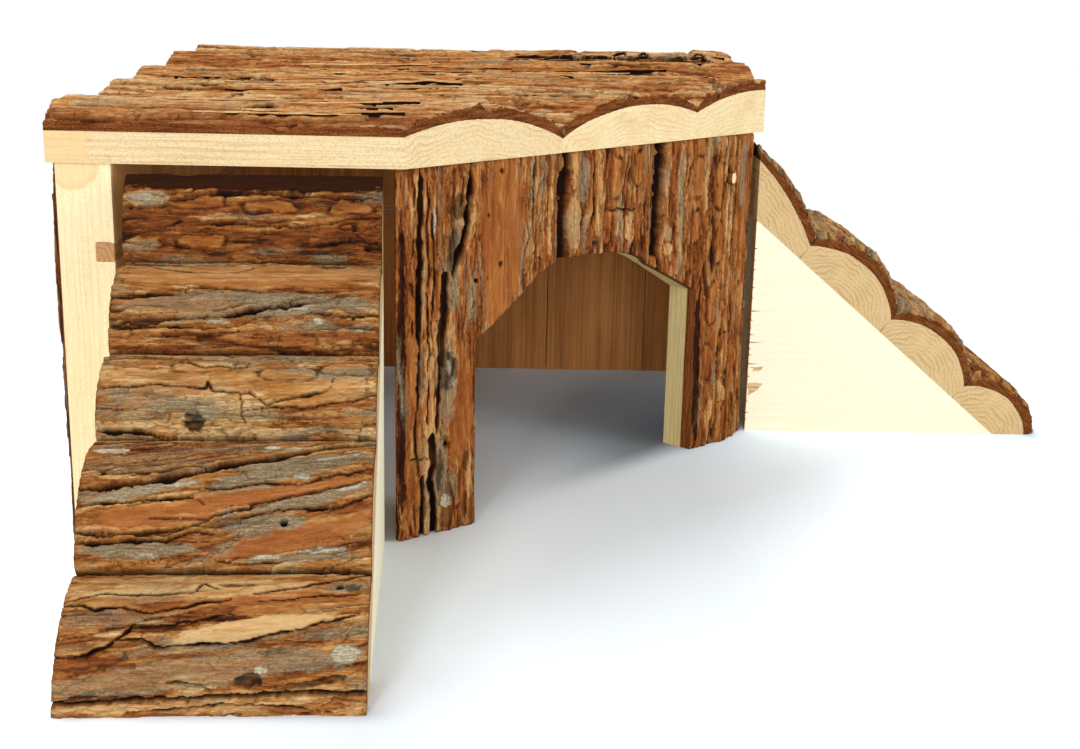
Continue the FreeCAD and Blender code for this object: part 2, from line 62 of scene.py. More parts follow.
ROOM_HIGH, WALL = 127.0, 20.0
CUT_WIDE, CUT_DEEP = 137.0, 143.0
SLANT = math.hypot(CUT_WIDE, CUT_DEEP)
ROOF_WIDE, ROOF_DEEP = 250.0, 260.0
MID = Vector((187.0, 67.805, 0.0))  # the row's origin, from the roof's front left corner
RAMP_BASE, RAMP_HIGH, RAMP_WIDE, RAMP_LONG, RAMP_BOARD, RAMP_EDGE = 107.0, 91.0, 81.0, 125.0, 7.0, 11.0
SLOPE = math.hypot(RAMP_BASE, RAMP_HIGH)
PANEL_BACK = 12.5
DOOR_RIGHT, DOOR_LEFT = 41.5, 165.5
DOOR_HIGH, JAMB_HIGH, SHOULDER_HIGH, ARCH_WIDE = 88.5, 66.5, 82.0, 66.0
WALLS_IN = 1.5  # from the roof's front edge to the left wall's
ROOF_EDGE, LEFT_EDGE, BACK_EDGE = 13.0, 19.0, 16.0  # height of the first slab's first edge

# width, rise of the crown above the middle of the edges, height of the edge that follows
ROOF = [(54, 6.5, 8), (56, 7, 13), (57, 7, 13), (61, 10, 11), (32, 7, 20)]
LEFT = [(56.5, 2.2, 13), (57, 5.5, 13), (50, 6, 13), (45, 5, 13), (49, 5, 13.5)]
BACK = [(37, 5, 13), (54, 7, 13), (55, 6.5, 13), (47, 6, 13), (35.5, 6, 12)]
FRONT_RAMP = [(3.5, 4), (35, 9), (30.5, 7.5), (43, 9.5), (None, 7)]
RIGHT_RAMP = [(24.5, 2.5), (47.5, 9.5), (44, 9), (None, 8)]

UP = Vector((0, 0, 1))
TO_RIGHT, TO_BACK = Vector((1, 0, 0)), Vector((0, 1, 0))
SLANT_DIR = Vector((CUT_WIDE, CUT_DEEP, 0)) / SLANT
SLANT_OUT = Vector((CUT_DEEP, -CUT_WIDE, 0)) / SLANT

# ---------------------------------------------------------------- noise


def rand2(ix, iy, seed):
    """A repeatable number from 0 to 1 for each lattice point."""
    n = (ix.astype(np.int64) * 374761393 + iy.astype(np.int64) * 668265263 + seed * 974634777) & 0xFFFFFFFF
    n = ((n ^ (n >> 13)) * 1274126177) & 0xFFFFFFFF
    n = ((n ^ (n >> 16)) * 2246822519) & 0xFFFFFFFF
    return ((n ^ (n >> 15)) & 0xFFFFFF) / float(0x1000000)


def noise(x, y, seed):
    """Smooth gradient noise, about -1 to 1."""
    x0, y0 = np.floor(x), np.floor(y)
    fx, fy = x - x0, y - y0
    u, v = (f * f * f * (f * (f * 6 - 15) + 10) for f in (fx, fy))
    total = 0.0
    for dx in (0, 1):
        for dy in (0, 1):
            angle = rand2(x0 + dx, y0 + dy, seed) * 2 * math.pi
            slope = np.cos(angle) * (fx - dx) + np.sin(angle) * (fy - dy)
            total = total + slope * (u if dx else 1 - u) * (v if dy else 1 - v)
    return total * 1.5


def fractal(x, y, seed, octaves=3):
    total, size = 0.0, 1.0
    for k in range(octaves):
        total = total + noise(x / size, y / size, seed + 17 * k) * size
        size *= 0.5
    return total / 1.75


def cells(x, y, seed):
    """Voronoi cells: distance to the nearest border, three random numbers of the cell, and how far
    across the cell the point lies."""
    x0, y0 = np.floor(x), np.floor(y)
    best = second = np.full(x.shape, 9.0)
    cx = cy = ix = iy = np.zeros(x.shape)
    for dx in (-1, 0, 1):
        for dy in (-1, 0, 1):
            jx, jy = x0 + dx, y0 + dy
            px = jx + 0.5 + 0.46 * (2 * rand2(jx, jy, seed) - 1)
            py = jy + 0.5 + 0.46 * (2 * rand2(jx, jy, seed + 1) - 1)
            d = np.hypot(x - px, y - py)
            closer = d < best
            second = np.where(closer, best, np.minimum(second, d))
            best = np.where(closer, d, best)
            cx, cy, ix, iy = (np.where(closer, new, old)
                              for new, old in ((px, cx), (py, cy), (jx, ix), (jy, iy)))
    return second - best, [rand2(ix, iy, seed + k) for k in (2, 3, 4)], x - cx, y - cy


def step(low, high, x):
    t = np.clip((x - low) / (high - low), 0, 1)
    return t * t * (3 - 2 * t)


def blur(grid, *reaches):
    """Two passes of a box blur over a grid, along its rows and its columns."""
    for axis, reach in enumerate(reaches):
        reach = min(int(reach), (grid.shape[axis] - 1) // 2)
        if reach < 1:
            continue
        for _ in range(2):
            pad = [(0, 0), (0, 0)]
            pad[axis] = (reach + 1, reach)
            total = np.cumsum(np.pad(grid, pad, mode="edge"), axis=axis)
            high = np.take(total, range(2 * reach + 1, total.shape[axis]), axis=axis)
            low = np.take(total, range(total.shape[axis] - 2 * reach - 1), axis=axis)
            grid = (high - low) / (2 * reach + 1)
    return grid


# ---------------------------------------------------------------- bark relief

STYLE = {
    "long": 60,          # length and width of the bark's layers
    "wide": 6.5,
    "slant": 0.0,        # how the grain drifts across for each millimetre along
    "layers": 2.4,       # how many lie over one another
    "step": 0.5,         # thickness of one
    "crack": 1.5,        # depth of the cracks, how open they are and how many run across the grain
    "open": 0.5,
    "cross": 0.35,
    "fibre": 0.14,
    "swell": 0.6,
    "grey": 0.2,         # weathering and base tone
    "tone": 0.5,
    "peel": 0.6,         # how much of the outer bark has come off
    "gap": (1.0, 1.0),   # how far the bark rounds off towards the two neighbours
    "flake": 1.0,        # small flakes on the plates
    "lift": 0.0,         # how much thicker the bark is away from its start
    "torn": 8.0,         # how raggedly the thick plates end
    "vary": 1.0,         # how much the layers differ in tone
    "bark": 3.6,         # thickness over the wood
}
LINES = ("crack", "cave", "gap")  # marks that follow a line, the others lie at a place


def read_marks(text):
    """Marks on the slabs of a row, from a text with a block for each slab and a semicolon after each
    mark. A mark has its kind, or that of the one before it, then pairs of numbers and single ones.
    LINES have the line's points, width, depth, and how much the side beyond it stands up. A hole has
    its place and radius. The others have a place, half their length and width, a strength, and how
    they drift across along the grain. Places lie along the grain and across it."""
    rows = {}
    for i, block in enumerate(text.strip().split("\n\n"), 1):
        rows[i] = []
        for mark in block.split(";"):
            words = mark.split()
            if words[0].isalpha():
                kind = words.pop(0)
            pairs = [tuple(map(float, word.split(","))) for word in words if "," in word]
            rest = [float(word) for word in words if "," not in word]
            rows[i].append((kind, pairs, *rest) if kind in LINES else (kind, *pairs, *rest))
    return rows


def to_line(s, a, line):
    """Distance from each point to a line through points, on which side of it the point lies, and how
    far along it."""
    best = np.full(s.shape, 1e9)
    side = along = np.zeros(s.shape)
    total = sum(math.dist(p, q) for p, q in zip(line, line[1:]))
    gone = 0.0
    for (s0, a0), (s1, a1) in zip(line, line[1:]):
        ds, da = s1 - s0, a1 - a0
        long = math.hypot(ds, da)
        t = np.clip(((s - s0) * ds + (a - a0) * da) / long**2, 0, 1)
        d = np.hypot(s - s0 - t * ds, a - a0 - t * da)
        nearer = d < best
        side = np.where(nearer, np.sign(((a - a0) * ds - (s - s0) * da) * ds), side)
        along = np.where(nearer, (gone + t * long) / total, along)
        best = np.minimum(best, d)
        gone += long
    return best, side, along


def layered(s, w, long, wide, count, seed):
    """Layers of bark with ragged edges: the height in layers, the shadow just under each edge and a
    random number for each layer."""
    ragged = 0.05 * fractal(s / 3.5, w / 0.9, seed + 5) + 0.07 * fractal(s / 11, w / 2, seed + 6)
    field = count * (fractal(s / long, w / wide, seed, 3) + ragged) + 20.5
    k = np.floor(field)
    f = field - k
    return k - 20.5 + step(0, 0.14, f), step(0.80, 1.0, f), rand2(k, k * 0, seed + 7)


def bark_relief(s, w, wide, seed, style, marks, plates):
    """Height of the bark over its clean surface, and what the material needs: tone, dark, grey, how
    raw it is and how calm. dark holds the cracks and the painted shade under edges, beside plates, in
    hollows and in the joints. s runs along the grain and w across it."""
    st = SimpleNamespace(**{**STYLE, **style})

    def wave(x, y, k):
        return noise(x, y, seed + k)

    def rough(x, y, k, octaves=3):
        return fractal(x, y, seed + k, octaves)

    def bell(x):
        return np.exp(-(x**2))

    ws = w - st.slant * s
    s1 = s + 8 * rough(s / 40, ws / 11, 1)
    w1 = ws + 1.5 * rough(s / 26, ws / 7, 2) + 0.22 * rough(s / 4.5, ws / 2, 3)
    high = st.swell * rough(s / 60, w / 15, 4, 2) + st.lift * step(1.0, 9.0, s)
    calm = np.zeros(s.shape)
    tone = st.tone + 0.18 * rough(s / 45, w / 6, 5)

    # coarse layers and fine ones
    level, shadow, rnd = layered(s1, w1, st.long, st.wide, st.layers, seed + 10)
    high += st.step * level
    tone += 0.42 * st.vary * (rnd - 0.5) + 0.05 * level
    some = step(-0.25, 0.25, wave(s / 17, ws / 5, 12))
    dark = 0.75 * shadow * some
    level2, shadow2, rnd2 = layered(s1 + 90, w1, st.long * 0.4, st.wide * 0.42, 1.7, seed + 20)
    high += 0.42 * st.step * level2
    tone += 0.24 * st.vary * (rnd2 - 0.5)
    dark = np.maximum(dark, 0.5 * shadow2 * (1 - 0.6 * some))
    # small flakes
    border, rnd3, _, _ = cells(s1 / 9, w1 / 1.7, seed + 35)
    high += 0.30 * (rnd3[0] - 0.5) * st.flake
    tone += 0.20 * (rnd3[1] - 0.5) * st.flake
    dark = np.maximum(dark, 0.6 * (1 - step(0.02, 0.14, border)) * (rnd3[2] < 0.45) * st.flake)
    # plates with cracks across the grain between them
    border, rnd3, along, across = cells(s1 / (0.5 * st.long), w1 / (0.9 * st.wide), seed + 30)
    endwise = np.abs(along) > 0.8 * np.abs(across)
    ends = (1 - step(0, 0.035, border)) * endwise * (rnd3[0] < st.cross)
    sides = (1 - step(0, 0.10, border)) * ~endwise * (rnd3[1] < 0.6)
    high += st.step * 0.9 * (rnd3[2] - 0.5) * st.cross
    # thin long cracks and a few open ones
    line = np.abs(wave(s / 70, w1 / 4.5, 40) + 0.10 * wave(s / 6, ws / 2, 41))
    thin = (1 - step(0.0, 0.085, line)) * step(0.0, 0.2, wave(s / 30, ws / 8, 42))
    line = np.abs(wave(s / 95, w1 / 9, 43) + 0.12 * wave(s / 9, ws / 3, 44))
    opened = (1 - step(0.02, 0.05 + 0.07 * st.open, line)) \
        * step(0.32 - 0.3 * st.open, 0.45, wave(s / 50, ws / 12, 45))
    split = np.maximum.reduce([0.6 * thin, opened, 0.55 * ends, 0.5 * sides])
    high -= st.crack * split
    dark = np.maximum(dark, np.clip(1.1 * split, 0, 1))
    # places where the outer bark has come off and the red fibres show
    bare = rough(s1 / 42, w1 / 6, 50) + 0.12 * rough(s / 5, w / 1.3, 51)
    raw = step(0.26, 0.30, bare) * st.peel
    high -= 0.6 * raw
    high += 0.3 * bell((bare - 0.25) / 0.03) * st.peel
    # fibres along the grain
    high += st.fibre * (rough(s / 18, w / 0.9, 60) * (0.6 + 0.8 * raw))
    high += 0.10 * rough(s / 1.8, w / 1.2, 61)
    tone += 0.10 * rough(s / 12, w / 0.8, 62)
    grey = step(0.72 - st.grey, 0.98 - st.grey, 0.5 + 0.55 * rough(s / 36, ws / 6, 70)
                + 0.25 * (rnd - 0.5) + 0.15 * rough(s / 3, w / 1.5, 71)) * (1 - raw * 0.8)

    # thick plates, as in the construction
    torn = st.torn * rough(w / 2.2, s / 30, 80)
    frayed = 1.4 * rough(s / 14, w / 3, 81) + 0.3 * wave(s / 2, w / 2, 82)
    for s0, s1_, w0, w1_, thick in plates:
        inside = np.minimum(np.minimum(s - s0 + torn if s0 > 0 else 99.0, s1_ - s - torn),
                            np.minimum(w - w0 + frayed, w1_ - w - frayed))
        high += thick * step(-0.1, 0.35, inside)
        # a band just outside each plate's edge is painted dark as the plate's shadow
        dark = np.maximum(dark, 0.75 * bell((inside + 0.45) / 0.4) * (0.4 + 0.6 * some))

    wander = w + 0.8 * rough(s / 9, w / 9, 90) + 0.3 * wave(s / 2.6, w / 4, 91) \
        + 0.16 * wave(s / 1.1, w / 2, 92)
    stray = s + 1.0 * wave(w / 3.1, s / 9, 93) + 0.35 * wave(w / 1.0, s / 3, 94)
    for kind, where, *rest in marks:
        if kind in LINES:
            broad, deep, lip = rest
            d, side, along = to_line(stray, wander, where)
            taper = np.clip(5 * np.minimum(along, 1 - along) + 0.25, 0, 1)
            opened = taper * np.clip(0.62 + 0.85 * wave(s / 7, w / 9, 95), 0.15, 1.3)
            if kind == "cave":
                # a hollow under bark that has come loose, whose far side stands up over it. The hollow and
                # the face of the raised side are painted dark as the shadow under the loose bark.
                past = d * side / (broad * opened)
                start, edge = step(-0.6, -0.3, past), step(0.45, 0.6, past)
                high += lip * edge * np.exp(-np.clip(d * side - 0.6 * broad, 0, None) / 6) * taper
                high -= deep * (start * (1 - edge))
                deep, shape = 0, start * (1 - step(0.64, 0.72, past))
            elif kind == "gap":
                # as wide from end to end, like the joint between two slabs, and painted dark as the shade in
                # it
                shape = 1 - step(0.38 * broad, 0.5 * broad + 0.14, d + 0.1 * broad * wave(s / 4, w / 9, 96))
            else:
                # a crack: the split is painted dark, and that darkness also stands for the shade under its
                # raised side
                shape = 1 - step(0.4 * broad * opened, 0.75 * broad * opened + 0.14, d)
                high += lip * side * np.exp(-d / 3.0) * taper * (0.7 + 0.5 * wave(s / 9, w / 30, 96))
                if broad > 1:
                    # a strand of bark beside it
                    beside = np.abs(d * side - 0.9 * broad - 0.8 - 0.9 * wave(s / 15, w * 0 + 1.1, 97))
                    strand = (1 - step(0.06 * broad, 0.16 * broad + 0.2, beside)) * taper
                    shape = np.maximum(shape, 0.75 * strand * step(0.0, 0.25, wave(s / 12, w / 40, 98)))
            high -= deep * shape
            dark = np.maximum(dark * (1 - 0.5 * np.exp(-d / 2)), shape)
            grey = grey * (1 - shape)
            continue
        if kind == "hole":
            d = np.hypot(s - where[0], w - where[1]) + 0.12 * wave(s / 0.7, w / 0.7, 93)
            # a hole, painted dark as the shade inside it
            shape = 1 - step(0.75 * rest[0], 1.1 * rest[0], d)
            high -= 2.6 * shape
            dark = np.maximum(dark, shape)
            continue
        reach, strength, drift = (*rest, 0.0)[:3]
        ds, dw = s - where[0], wander - where[1] - drift * (s - where[0])
        d = np.hypot(ds / reach[0], dw / reach[1])
        if kind == "bulge":
            high += strength * np.exp(-d * d)
            continue
        if kind == "scale":
            d = ((ds / reach[0]) ** 4 + (dw / reach[1]) ** 4) ** 0.25
            d = d + 0.22 * rough(s / 7 + where[0], w / 3, 94) + 0.08 * rough(s / 1.6, w / 0.8, 95)
        else:
            d = d + 0.34 * rough(s / (reach[0] * 0.4), w / (reach[1] * 0.6), 94)
            d = d + 0.16 * rough(s / 2.5, w / 0.8, 95)
        shape = (1 - step(0.78, 0.98, d)) * abs(strength)
        if kind in ("grey", "white"):
            grey = np.maximum(grey, shape * (1.0 if kind == "grey" else 1.9))
            raw = raw * (1 - np.clip(shape, 0, 1))
            dark = dark * (1 - 0.4 * np.clip(shape, 0, 1))
        elif kind == "dark":
            uneven = rough(s / 5, w / 1.2, 99)
            dark = np.maximum(dark, shape * np.clip(0.8 + 0.8 * uneven, 0, 1))
            high -= shape * (0.6 - 0.8 * uneven)
        elif kind == "tone":
            tone += shape * math.copysign(1, strength)
            dark = dark * (1 - 0.5 * shape)
        elif kind == "raw":
            raw = np.maximum(raw, shape)
            grey = grey * (1 - np.clip(shape, 0, 1))
            high -= 0.5 * shape
        elif kind == "plate":
            high += shape
        elif kind == "scale":
            # a flat plate with a dark outline; its strength is how much paler it is
            inside = (0.9 - d) * min(reach)
            within = step(-0.05, 0.15, inside)
            outline = bell((inside + 0.14) / 0.22)
            high = high * (1 - 0.6 * within) + (st.step + 0.15) * within - 0.5 * outline
            tone = tone + (st.tone + 0.5 * strength - tone) * 0.6 * within
            calm = np.maximum(calm, 0.6 * within)
            dark = np.maximum(dark * (1 - 0.9 * within),
                              0.85 * outline * step(-0.5, 0.2, wave(s / 5, w / 2, 99)))
            raw = raw * (1 - within)
        elif kind == "smooth":
            high = high * (1 - 0.7 * shape)
            tone = tone + (st.tone + 0.08 - tone) * 0.7 * shape
            calm = np.maximum(calm, shape)
            dark = dark * (1 - 0.95 * shape)
            grey = grey * (1 - 0.8 * shape)
        elif kind == "knot":
            ring = np.sin(d * 9)
            high += shape * (0.9 * (1 - d) + 0.3 * ring - 0.4)
            dark = np.maximum(dark, shape * (0.5 + 0.35 * ring))

    # the bark rounds off towards the joints with its neighbours and is painted dark there as the shade in
    # the joint
    for d, gap in ((w, st.gap[0]), (wide - w, st.gap[1])):
        if gap < 0.1:
            continue
        d = d - 0.5 * gap * rough(s / 7, s * 0 + 3.3, 100) - 0.3 * gap * wave(s / 1.5, w / 2, 101)
        fall = 1 - step(0.45 * gap, 1.5 * gap, d)
        high -= 4.5 * fall + 0.8 * np.exp(-np.clip(d, 0, None) / (2.5 * gap))
        dark = np.maximum(dark, fall)
    return high, tone, dark, grey, raw, calm


# ---------------------------------------------------------------- meshes


def tube(rows, columns):
    """The faces of a closed tube: a grid of points whose rows go round it, and its two ends."""
    i, j = np.meshgrid(np.arange(rows), np.arange(columns - 1), indexing="ij")
    a, b = i * columns + j, ((i + 1) % rows) * columns + j
    around = np.arange(rows) * columns
    return np.stack([a, a + 1, b + 1, b], axis=-1).reshape(-1, 4).tolist() \
        + [around[::-1].tolist(), (around + columns - 1).tolist()]


def outwards(points, faces):
    """The faces turned round if they look into the solid."""
    volume = sum(np.dot(points[f[0]], np.cross(points[f[k]], points[f[k + 1]]))
                 for f in faces for k in range(1, len(f) - 1))
    return faces if volume > 0 else [f[::-1] for f in faces]


def stand(at, axes):
    """The matrix that places a piece by a point and three directions."""
    matrix = Matrix([Vector(v).normalized() for v in axes]).transposed().to_4x4()
    matrix.translation = (Vector(at) - MID) / 1000
    return matrix


def make(name, points, faces, materials, slots, smooth, matrix, body, node):
    """A mesh object from points in millimetres, standing where matrix says. slots and smooth are one
    value for all its faces or one for each."""
    mesh = bpy.data.meshes.new(name)
    mesh.from_pydata([tuple(p) for p in points / 1000.0], [], faces)
    for material in materials:
        mesh.materials.append(MAT[material])
    mesh.polygons.foreach_set("material_index", np.broadcast_to(slots, len(faces)).astype(np.int32))
    mesh.polygons.foreach_set("use_smooth", np.broadcast_to(smooth, len(faces)).astype(bool))
    mesh.update()
    piece = bpy.data.objects.new(name, mesh)
    bpy.context.scene.collection.objects.link(piece)
    piece.matrix_world = matrix
    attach(piece, body)
    if node:
        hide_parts(node)
    return piece


def give(piece, name, kind, key, values):
    """An attribute that the materials read, with a value for each point."""
    attribute = piece.data.attributes.new(name, kind, "POINT")
    attribute.data.foreach_set(key, values.reshape(-1).astype(np.float32))


def prism(name, outline, near, thick, materials, slots, matrix, body, node):
    """A flat piece from its outline in X and Z, which is thick along Y from near on."""
    count = len(outline)
    front = np.array([(x, near, z) for x, z in outline])
    points = np.concatenate([front, front + (0, thick, 0)])
    faces = [list(range(count)), [count + k for k in reversed(range(count))]]
    faces += [[k, count + k, count + (k + 1) % count, (k + 1) % count] for k in range(count)]
    make(name, points, outwards(points, faces), materials, slots, False, matrix, body, node)


def arc_points(start, crown, end, spacing):
    """Points along the arc through three points, its centre, and the distance along it."""
    (x1, y1), (x2, y2), (x3, y3) = start, crown, end
    d = 2 * (x1 * (y2 - y3) + x2 * (y3 - y1) + x3 * (y1 - y2))
    q1, q2, q3 = x1 * x1 + y1 * y1, x2 * x2 + y2 * y2, x3 * x3 + y3 * y3
    cx = (q1 * (y2 - y3) + q2 * (y3 - y1) + q3 * (y1 - y2)) / d
    cy = (q1 * (x3 - x2) + q2 * (x1 - x3) + q3 * (x2 - x1)) / d
    radius = math.hypot(x1 - cx, y1 - cy)
    a, b = math.atan2(y1 - cy, x1 - cx), math.atan2(y3 - cy, x3 - cx)
    count = max(12, int(abs(b - a) * radius / spacing))
    angles = np.linspace(a, b, count + 1)
    points = np.stack([cx + radius * np.cos(angles), cy + radius * np.sin(angles)], axis=1)
    return points, (cx, cy), np.abs(angles - a) * radius


JOINT = 0.004  # how much narrower a core is at its flat face, as a share of its width
TORN_ROWS = 4  # rows of faces across the torn ends of the bark


def half_round(name, body, at, axes, corners, rise, long, seed, style, looks, marks=(), plates=(),
               start=None, end=None, fine=(0.8, 0.5), part="", span=(0.0, 1.0)):
    """A slab as a core of wood and a shell of bark. at and axes place its section: along the grain,
    across it and outwards. corners are low_start, top_start, top_end, low_end, as in the
    construction. start and end give where the slab is sawn off for a place across it, and span the
    share of its width that is made."""
    st = {**STYLE, **style}
    low_start, top_start, top_end, low_end = (np.array(c, float) for c in corners)
    crown = (top_start + top_end) / 2 + np.array((0.0, rise))
    outer, centre, w = arc_points(top_start, crown, top_end, fine[1])
    share = (outer[:, 0] - outer[0, 0]) / (outer[-1, 0] - outer[0, 0])
    bottom = low_start + (low_end - low_start) * (JOINT + (1 - 2 * JOINT) * share[:, None])
    side_a, side_b = (v / np.linalg.norm(v) for v in (low_start - top_start, low_end - top_end))
    inwards = side_a + (side_b - side_a) * share[:, None]
    inwards /= np.linalg.norm(inwards, axis=1)[:, None]
    room = np.linalg.norm(outer - bottom, axis=1)
    thick = np.minimum(st["bark"], 0.72 * room)
    # the seam between wood and bark wanders a little
    thick = thick * (1 + 0.07 * noise(w / 9, w * 0 + 0.5, seed + 200)
                     + 0.05 * noise(w / 1.3, w * 0, seed + 201))
    inner = outer + inwards * thick[:, None]
    wide = w[-1]

    def to_w(a, outer=outer, w=w):
        """From a place across the section to the distance along its bark."""
        return float(np.interp(a, outer[:, 0], w))

    placed = []
    for kind, where, *rest in marks:
        where = [(p, to_w(q)) for p, q in where] if kind in LINES else (where[0], to_w(where[1]))
        placed.append((kind, where, *rest))
    thick_plates = [(s0, s1, to_w(a0), to_w(a1), t) for s0, s1, a0, a1, t in plates]
    first, last = (int(round(share * (len(w) - 1))) for share in span)
    outer, bottom, inwards, inner, thick, w = (
        x[first:last + 1] for x in (outer, bottom, inwards, inner, thick, w))
    columns = len(w)
    low_s = np.array([start(a) for a in outer[:, 0]]) if start else np.zeros(columns)
    high_s = np.array([end(a) for a in outer[:, 0]]) if end else np.full(columns, float(long))
    matrix = stand(Vector(at) + Vector(axes[1]).normalized() * centre[0]
                   + Vector(axes[2]).normalized() * centre[1], axes)
    shift = np.array([0, centre[0], centre[1]])

    # core of wood
    core = np.concatenate([np.concatenate([s[:, None], section], axis=1) for s, section in (
        (low_s, bottom), (high_s, bottom), (high_s, inner), (low_s, inner))]) - shift
    make(f"{name}{part}_wood", core, tube(4, columns), [looks[0]], 0, False, matrix, body, None)

    # shell of bark
    rows = max(8, int((high_s.max() - low_s.min()) / fine[0]))
    s = low_s + np.linspace(0, 1, rows + 1)[:, None] * (high_s - low_s)
    ww = np.broadcast_to(w, s.shape)
    high, tone, dark, grey, raw, calm = bark_relief(s, ww, wide, seed, style, placed, thick_plates)
    # torn ends: the outer bark breaks off a little short of the saw cut
    for edge_s, sign in ((low_s, 1), (high_s, -1)):
        off = np.abs(s - edge_s)
        high -= 1.1 * np.exp(-off / 0.7) * (0.5 + 0.6 * noise(ww / 1.7, ww * 0 + 1.5, seed + 210 + sign))
    high = np.maximum(high, 0.4 - thick)
    surface = inner[None] - inwards[None] * (thick + high)[:, :, None]
    grid = np.concatenate([s[:, :, None], surface], axis=2) - shift
    # Painted shade and highlight: where the relief lies below its blurred self the bark is painted darker as
    # shade in the hollow, where it lies above, paler as light on the raised part.
    relief = blur(high, 2.6 / fine[0], 1.8 / fine[1]) - high
    dark = np.clip(np.maximum(dark, 0.9 * step(0.25, 1.5, relief)), 0, 1)
    light = np.clip(-relief / 0.6, 0, 1)
    shell, colour = [grid], [np.stack([tone + 0.22 * light, dark, grey, raw], axis=2)]
    for edge_s, row, sign in ((high_s, grid[-1], 1), (low_s, grid[0], -1)):
        base = np.concatenate([edge_s[:, None], inner], axis=1) - shift
        strips = []
        for k in range(1, TORN_ROWS):
            t = k / TORN_ROWS
            mix = row * (1 - t) + base * t
            mix[:, 0] -= sign * 0.5 * np.abs(noise(w / 0.9, w * 0 + 2.3 * k, seed + 220))
            strips.append(mix)
        shell.append(np.array((strips + [base])[::sign]))
        tone = 0.35 + 0.3 * noise(w / 1.1, w * 0 + 5.5, seed + 230)
        shade = np.stack([tone, w * 0, w * 0, w * 0 + 1], axis=1)
        colour.append(np.broadcast_to(shade, (TORN_ROWS, columns, 4)))
    points = np.concatenate(shell)
    faces = tube(len(points), columns)
    torn = np.array([f[0] // columns >= rows for f in faces])
    torn[-2:] = True
    piece = make(f"{name}{part}_bark", points.reshape(-1, 3), faces, looks[1:], torn,
                 np.arange(len(faces)) < len(faces) - 2, matrix, body, name)
    give(piece, "bark", "FLOAT_COLOR", "color", np.concatenate(colour))
    give(piece, "calm", "FLOAT", "value", np.append(calm, np.zeros(2 * TORN_ROWS * columns)))


# ---------------------------------------------------------------- materials

MAT = {}


def srgb(*colour):
    """A colour given as it looks on a screen, 0 to 255."""
    return tuple((c / 255 / 12.92) if c / 255 <= 0.04045 else ((c / 255 + 0.055) / 1.055) ** 2.4
                 for c in colour) + (1.0,)


def grey(value):
    return (value, value, value, 1.0)


BLACK, WHITE = grey(0.0), grey(1.0)


class Value:
    """What a node gives, which takes part in sums as a number does."""

    def __init__(self, nodes, socket):
        self.nodes, self.socket = nodes, socket

    def __add__(self, other):
        return self.nodes.math("ADD", self, other)

    def __sub__(self, other):
        return self.nodes.math("SUBTRACT", self, other)

    def __rsub__(self, other):
        return self.nodes.math("SUBTRACT", other, self)

    def __mul__(self, other):
        return self.nodes.math("MULTIPLY", self, other)

    def __truediv__(self, other):
        return self.nodes.math("DIVIDE", self, other)

    def clamp(self):
        self.socket.node.use_clamp = True
        return self


class Nodes:
    """A short way to write a material's nodes."""

    def __init__(self, name):
        MAT[name] = self.material = bpy.data.materials.new(name)
        self.material.use_nodes = True
        self.tree = self.material.node_tree
        self.tree.nodes.clear()

    def add(self, kind, inputs, output=0, **settings):
        """A node whose name follows ShaderNode, and what it gives."""
        node = self.tree.nodes.new("ShaderNode" + kind)
        for key, value in settings.items():
            setattr(node, key, value)
        for key, value in inputs.items():
            if isinstance(value, Value):
                self.tree.links.new(value.socket, node.inputs[key])
            else:
                node.inputs[key].default_value = value
        return Value(self, node.outputs[output]) if node.outputs else None

    def parts(self, kind, inputs):
        """All that a node gives."""
        first = self.add(kind, inputs)
        return [Value(self, socket) for socket in first.socket.node.outputs]

    def math(self, operation, *values):
        return self.add("Math", dict(enumerate(values)), operation=operation)

    def vector(self, operation, inputs, output=0):
        return self.add("VectorMath", inputs, output, operation=operation)

    def mix(self, factor, a, b, blend="MIX"):
        return self.add("Mix", {0: factor, 6: a, 7: b}, 2, data_type="RGBA", blend_type=blend)

    def ramp(self, factor, *stops, smooth=False):
        value = self.add("ValToRGB", {"Fac": factor})
        ramp = value.socket.node.color_ramp
        ramp.interpolation = "EASE" if smooth else "LINEAR"
        while len(ramp.elements) < len(stops):
            ramp.elements.new(0.5)
        for element, (at, colour) in zip(ramp.elements, stops):
            element.position, element.color = at, colour
        return value

    def place(self, scale, offset=(0, 0, 0)):
        """Object coordinates times a scale for each axis."""
        place = self.add("TexCoord", {}, "Object")
        return self.add("Mapping", {"Vector": place, "Scale": scale, "Location": offset})

    def noise(self, scale, detail, rough, offset=(0, 0, 0)):
        """Noise whose features are about scale millimetres along each axis."""
        return self.add("TexNoise", {"Vector": self.place([1000.0 / c for c in scale], offset), "Scale": 1.0,
                                     "Detail": detail, "Roughness": rough}, "Fac")

    def plates(self, scale, warp, wide, offset=(0, 0, 0)):
        """Cells of about scale millimetres: 1 on the thin line between two, and a random number for each."""
        vector = self.place([1000.0 / c for c in scale], offset)
        drift = self.add("TexNoise", {"Vector": vector, "Scale": 0.8, "Detail": 4.0, "Roughness": 0.6},
                         "Color")
        drift = self.vector("SUBTRACT", {0: drift, 1: (0.5, 0.5, 0.5)})
        drift = self.vector("SCALE", {0: drift, "Scale": warp})
        at = {"Vector": self.vector("ADD", {0: vector, 1: drift}), "Scale": 1.0}
        edge = self.add("TexVoronoi", at, "Distance", feature="DISTANCE_TO_EDGE")
        cell = self.add("TexVoronoi", at, "Color", feature="F1")
        return self.ramp(edge, (0.0, WHITE), (wide, BLACK)), self.add("SeparateColor", {"Color": cell})

    def finish(self, colour, rough, height, strength, distance, specular):
        bump = self.add("Bump", {"Height": height, "Strength": strength, "Distance": distance})
        self.add("OutputMaterial", {"Surface": self.add("BsdfPrincipled", {
            "Base Color": colour, "Roughness": rough, "Specular IOR Level": specular, "Normal": bump})})


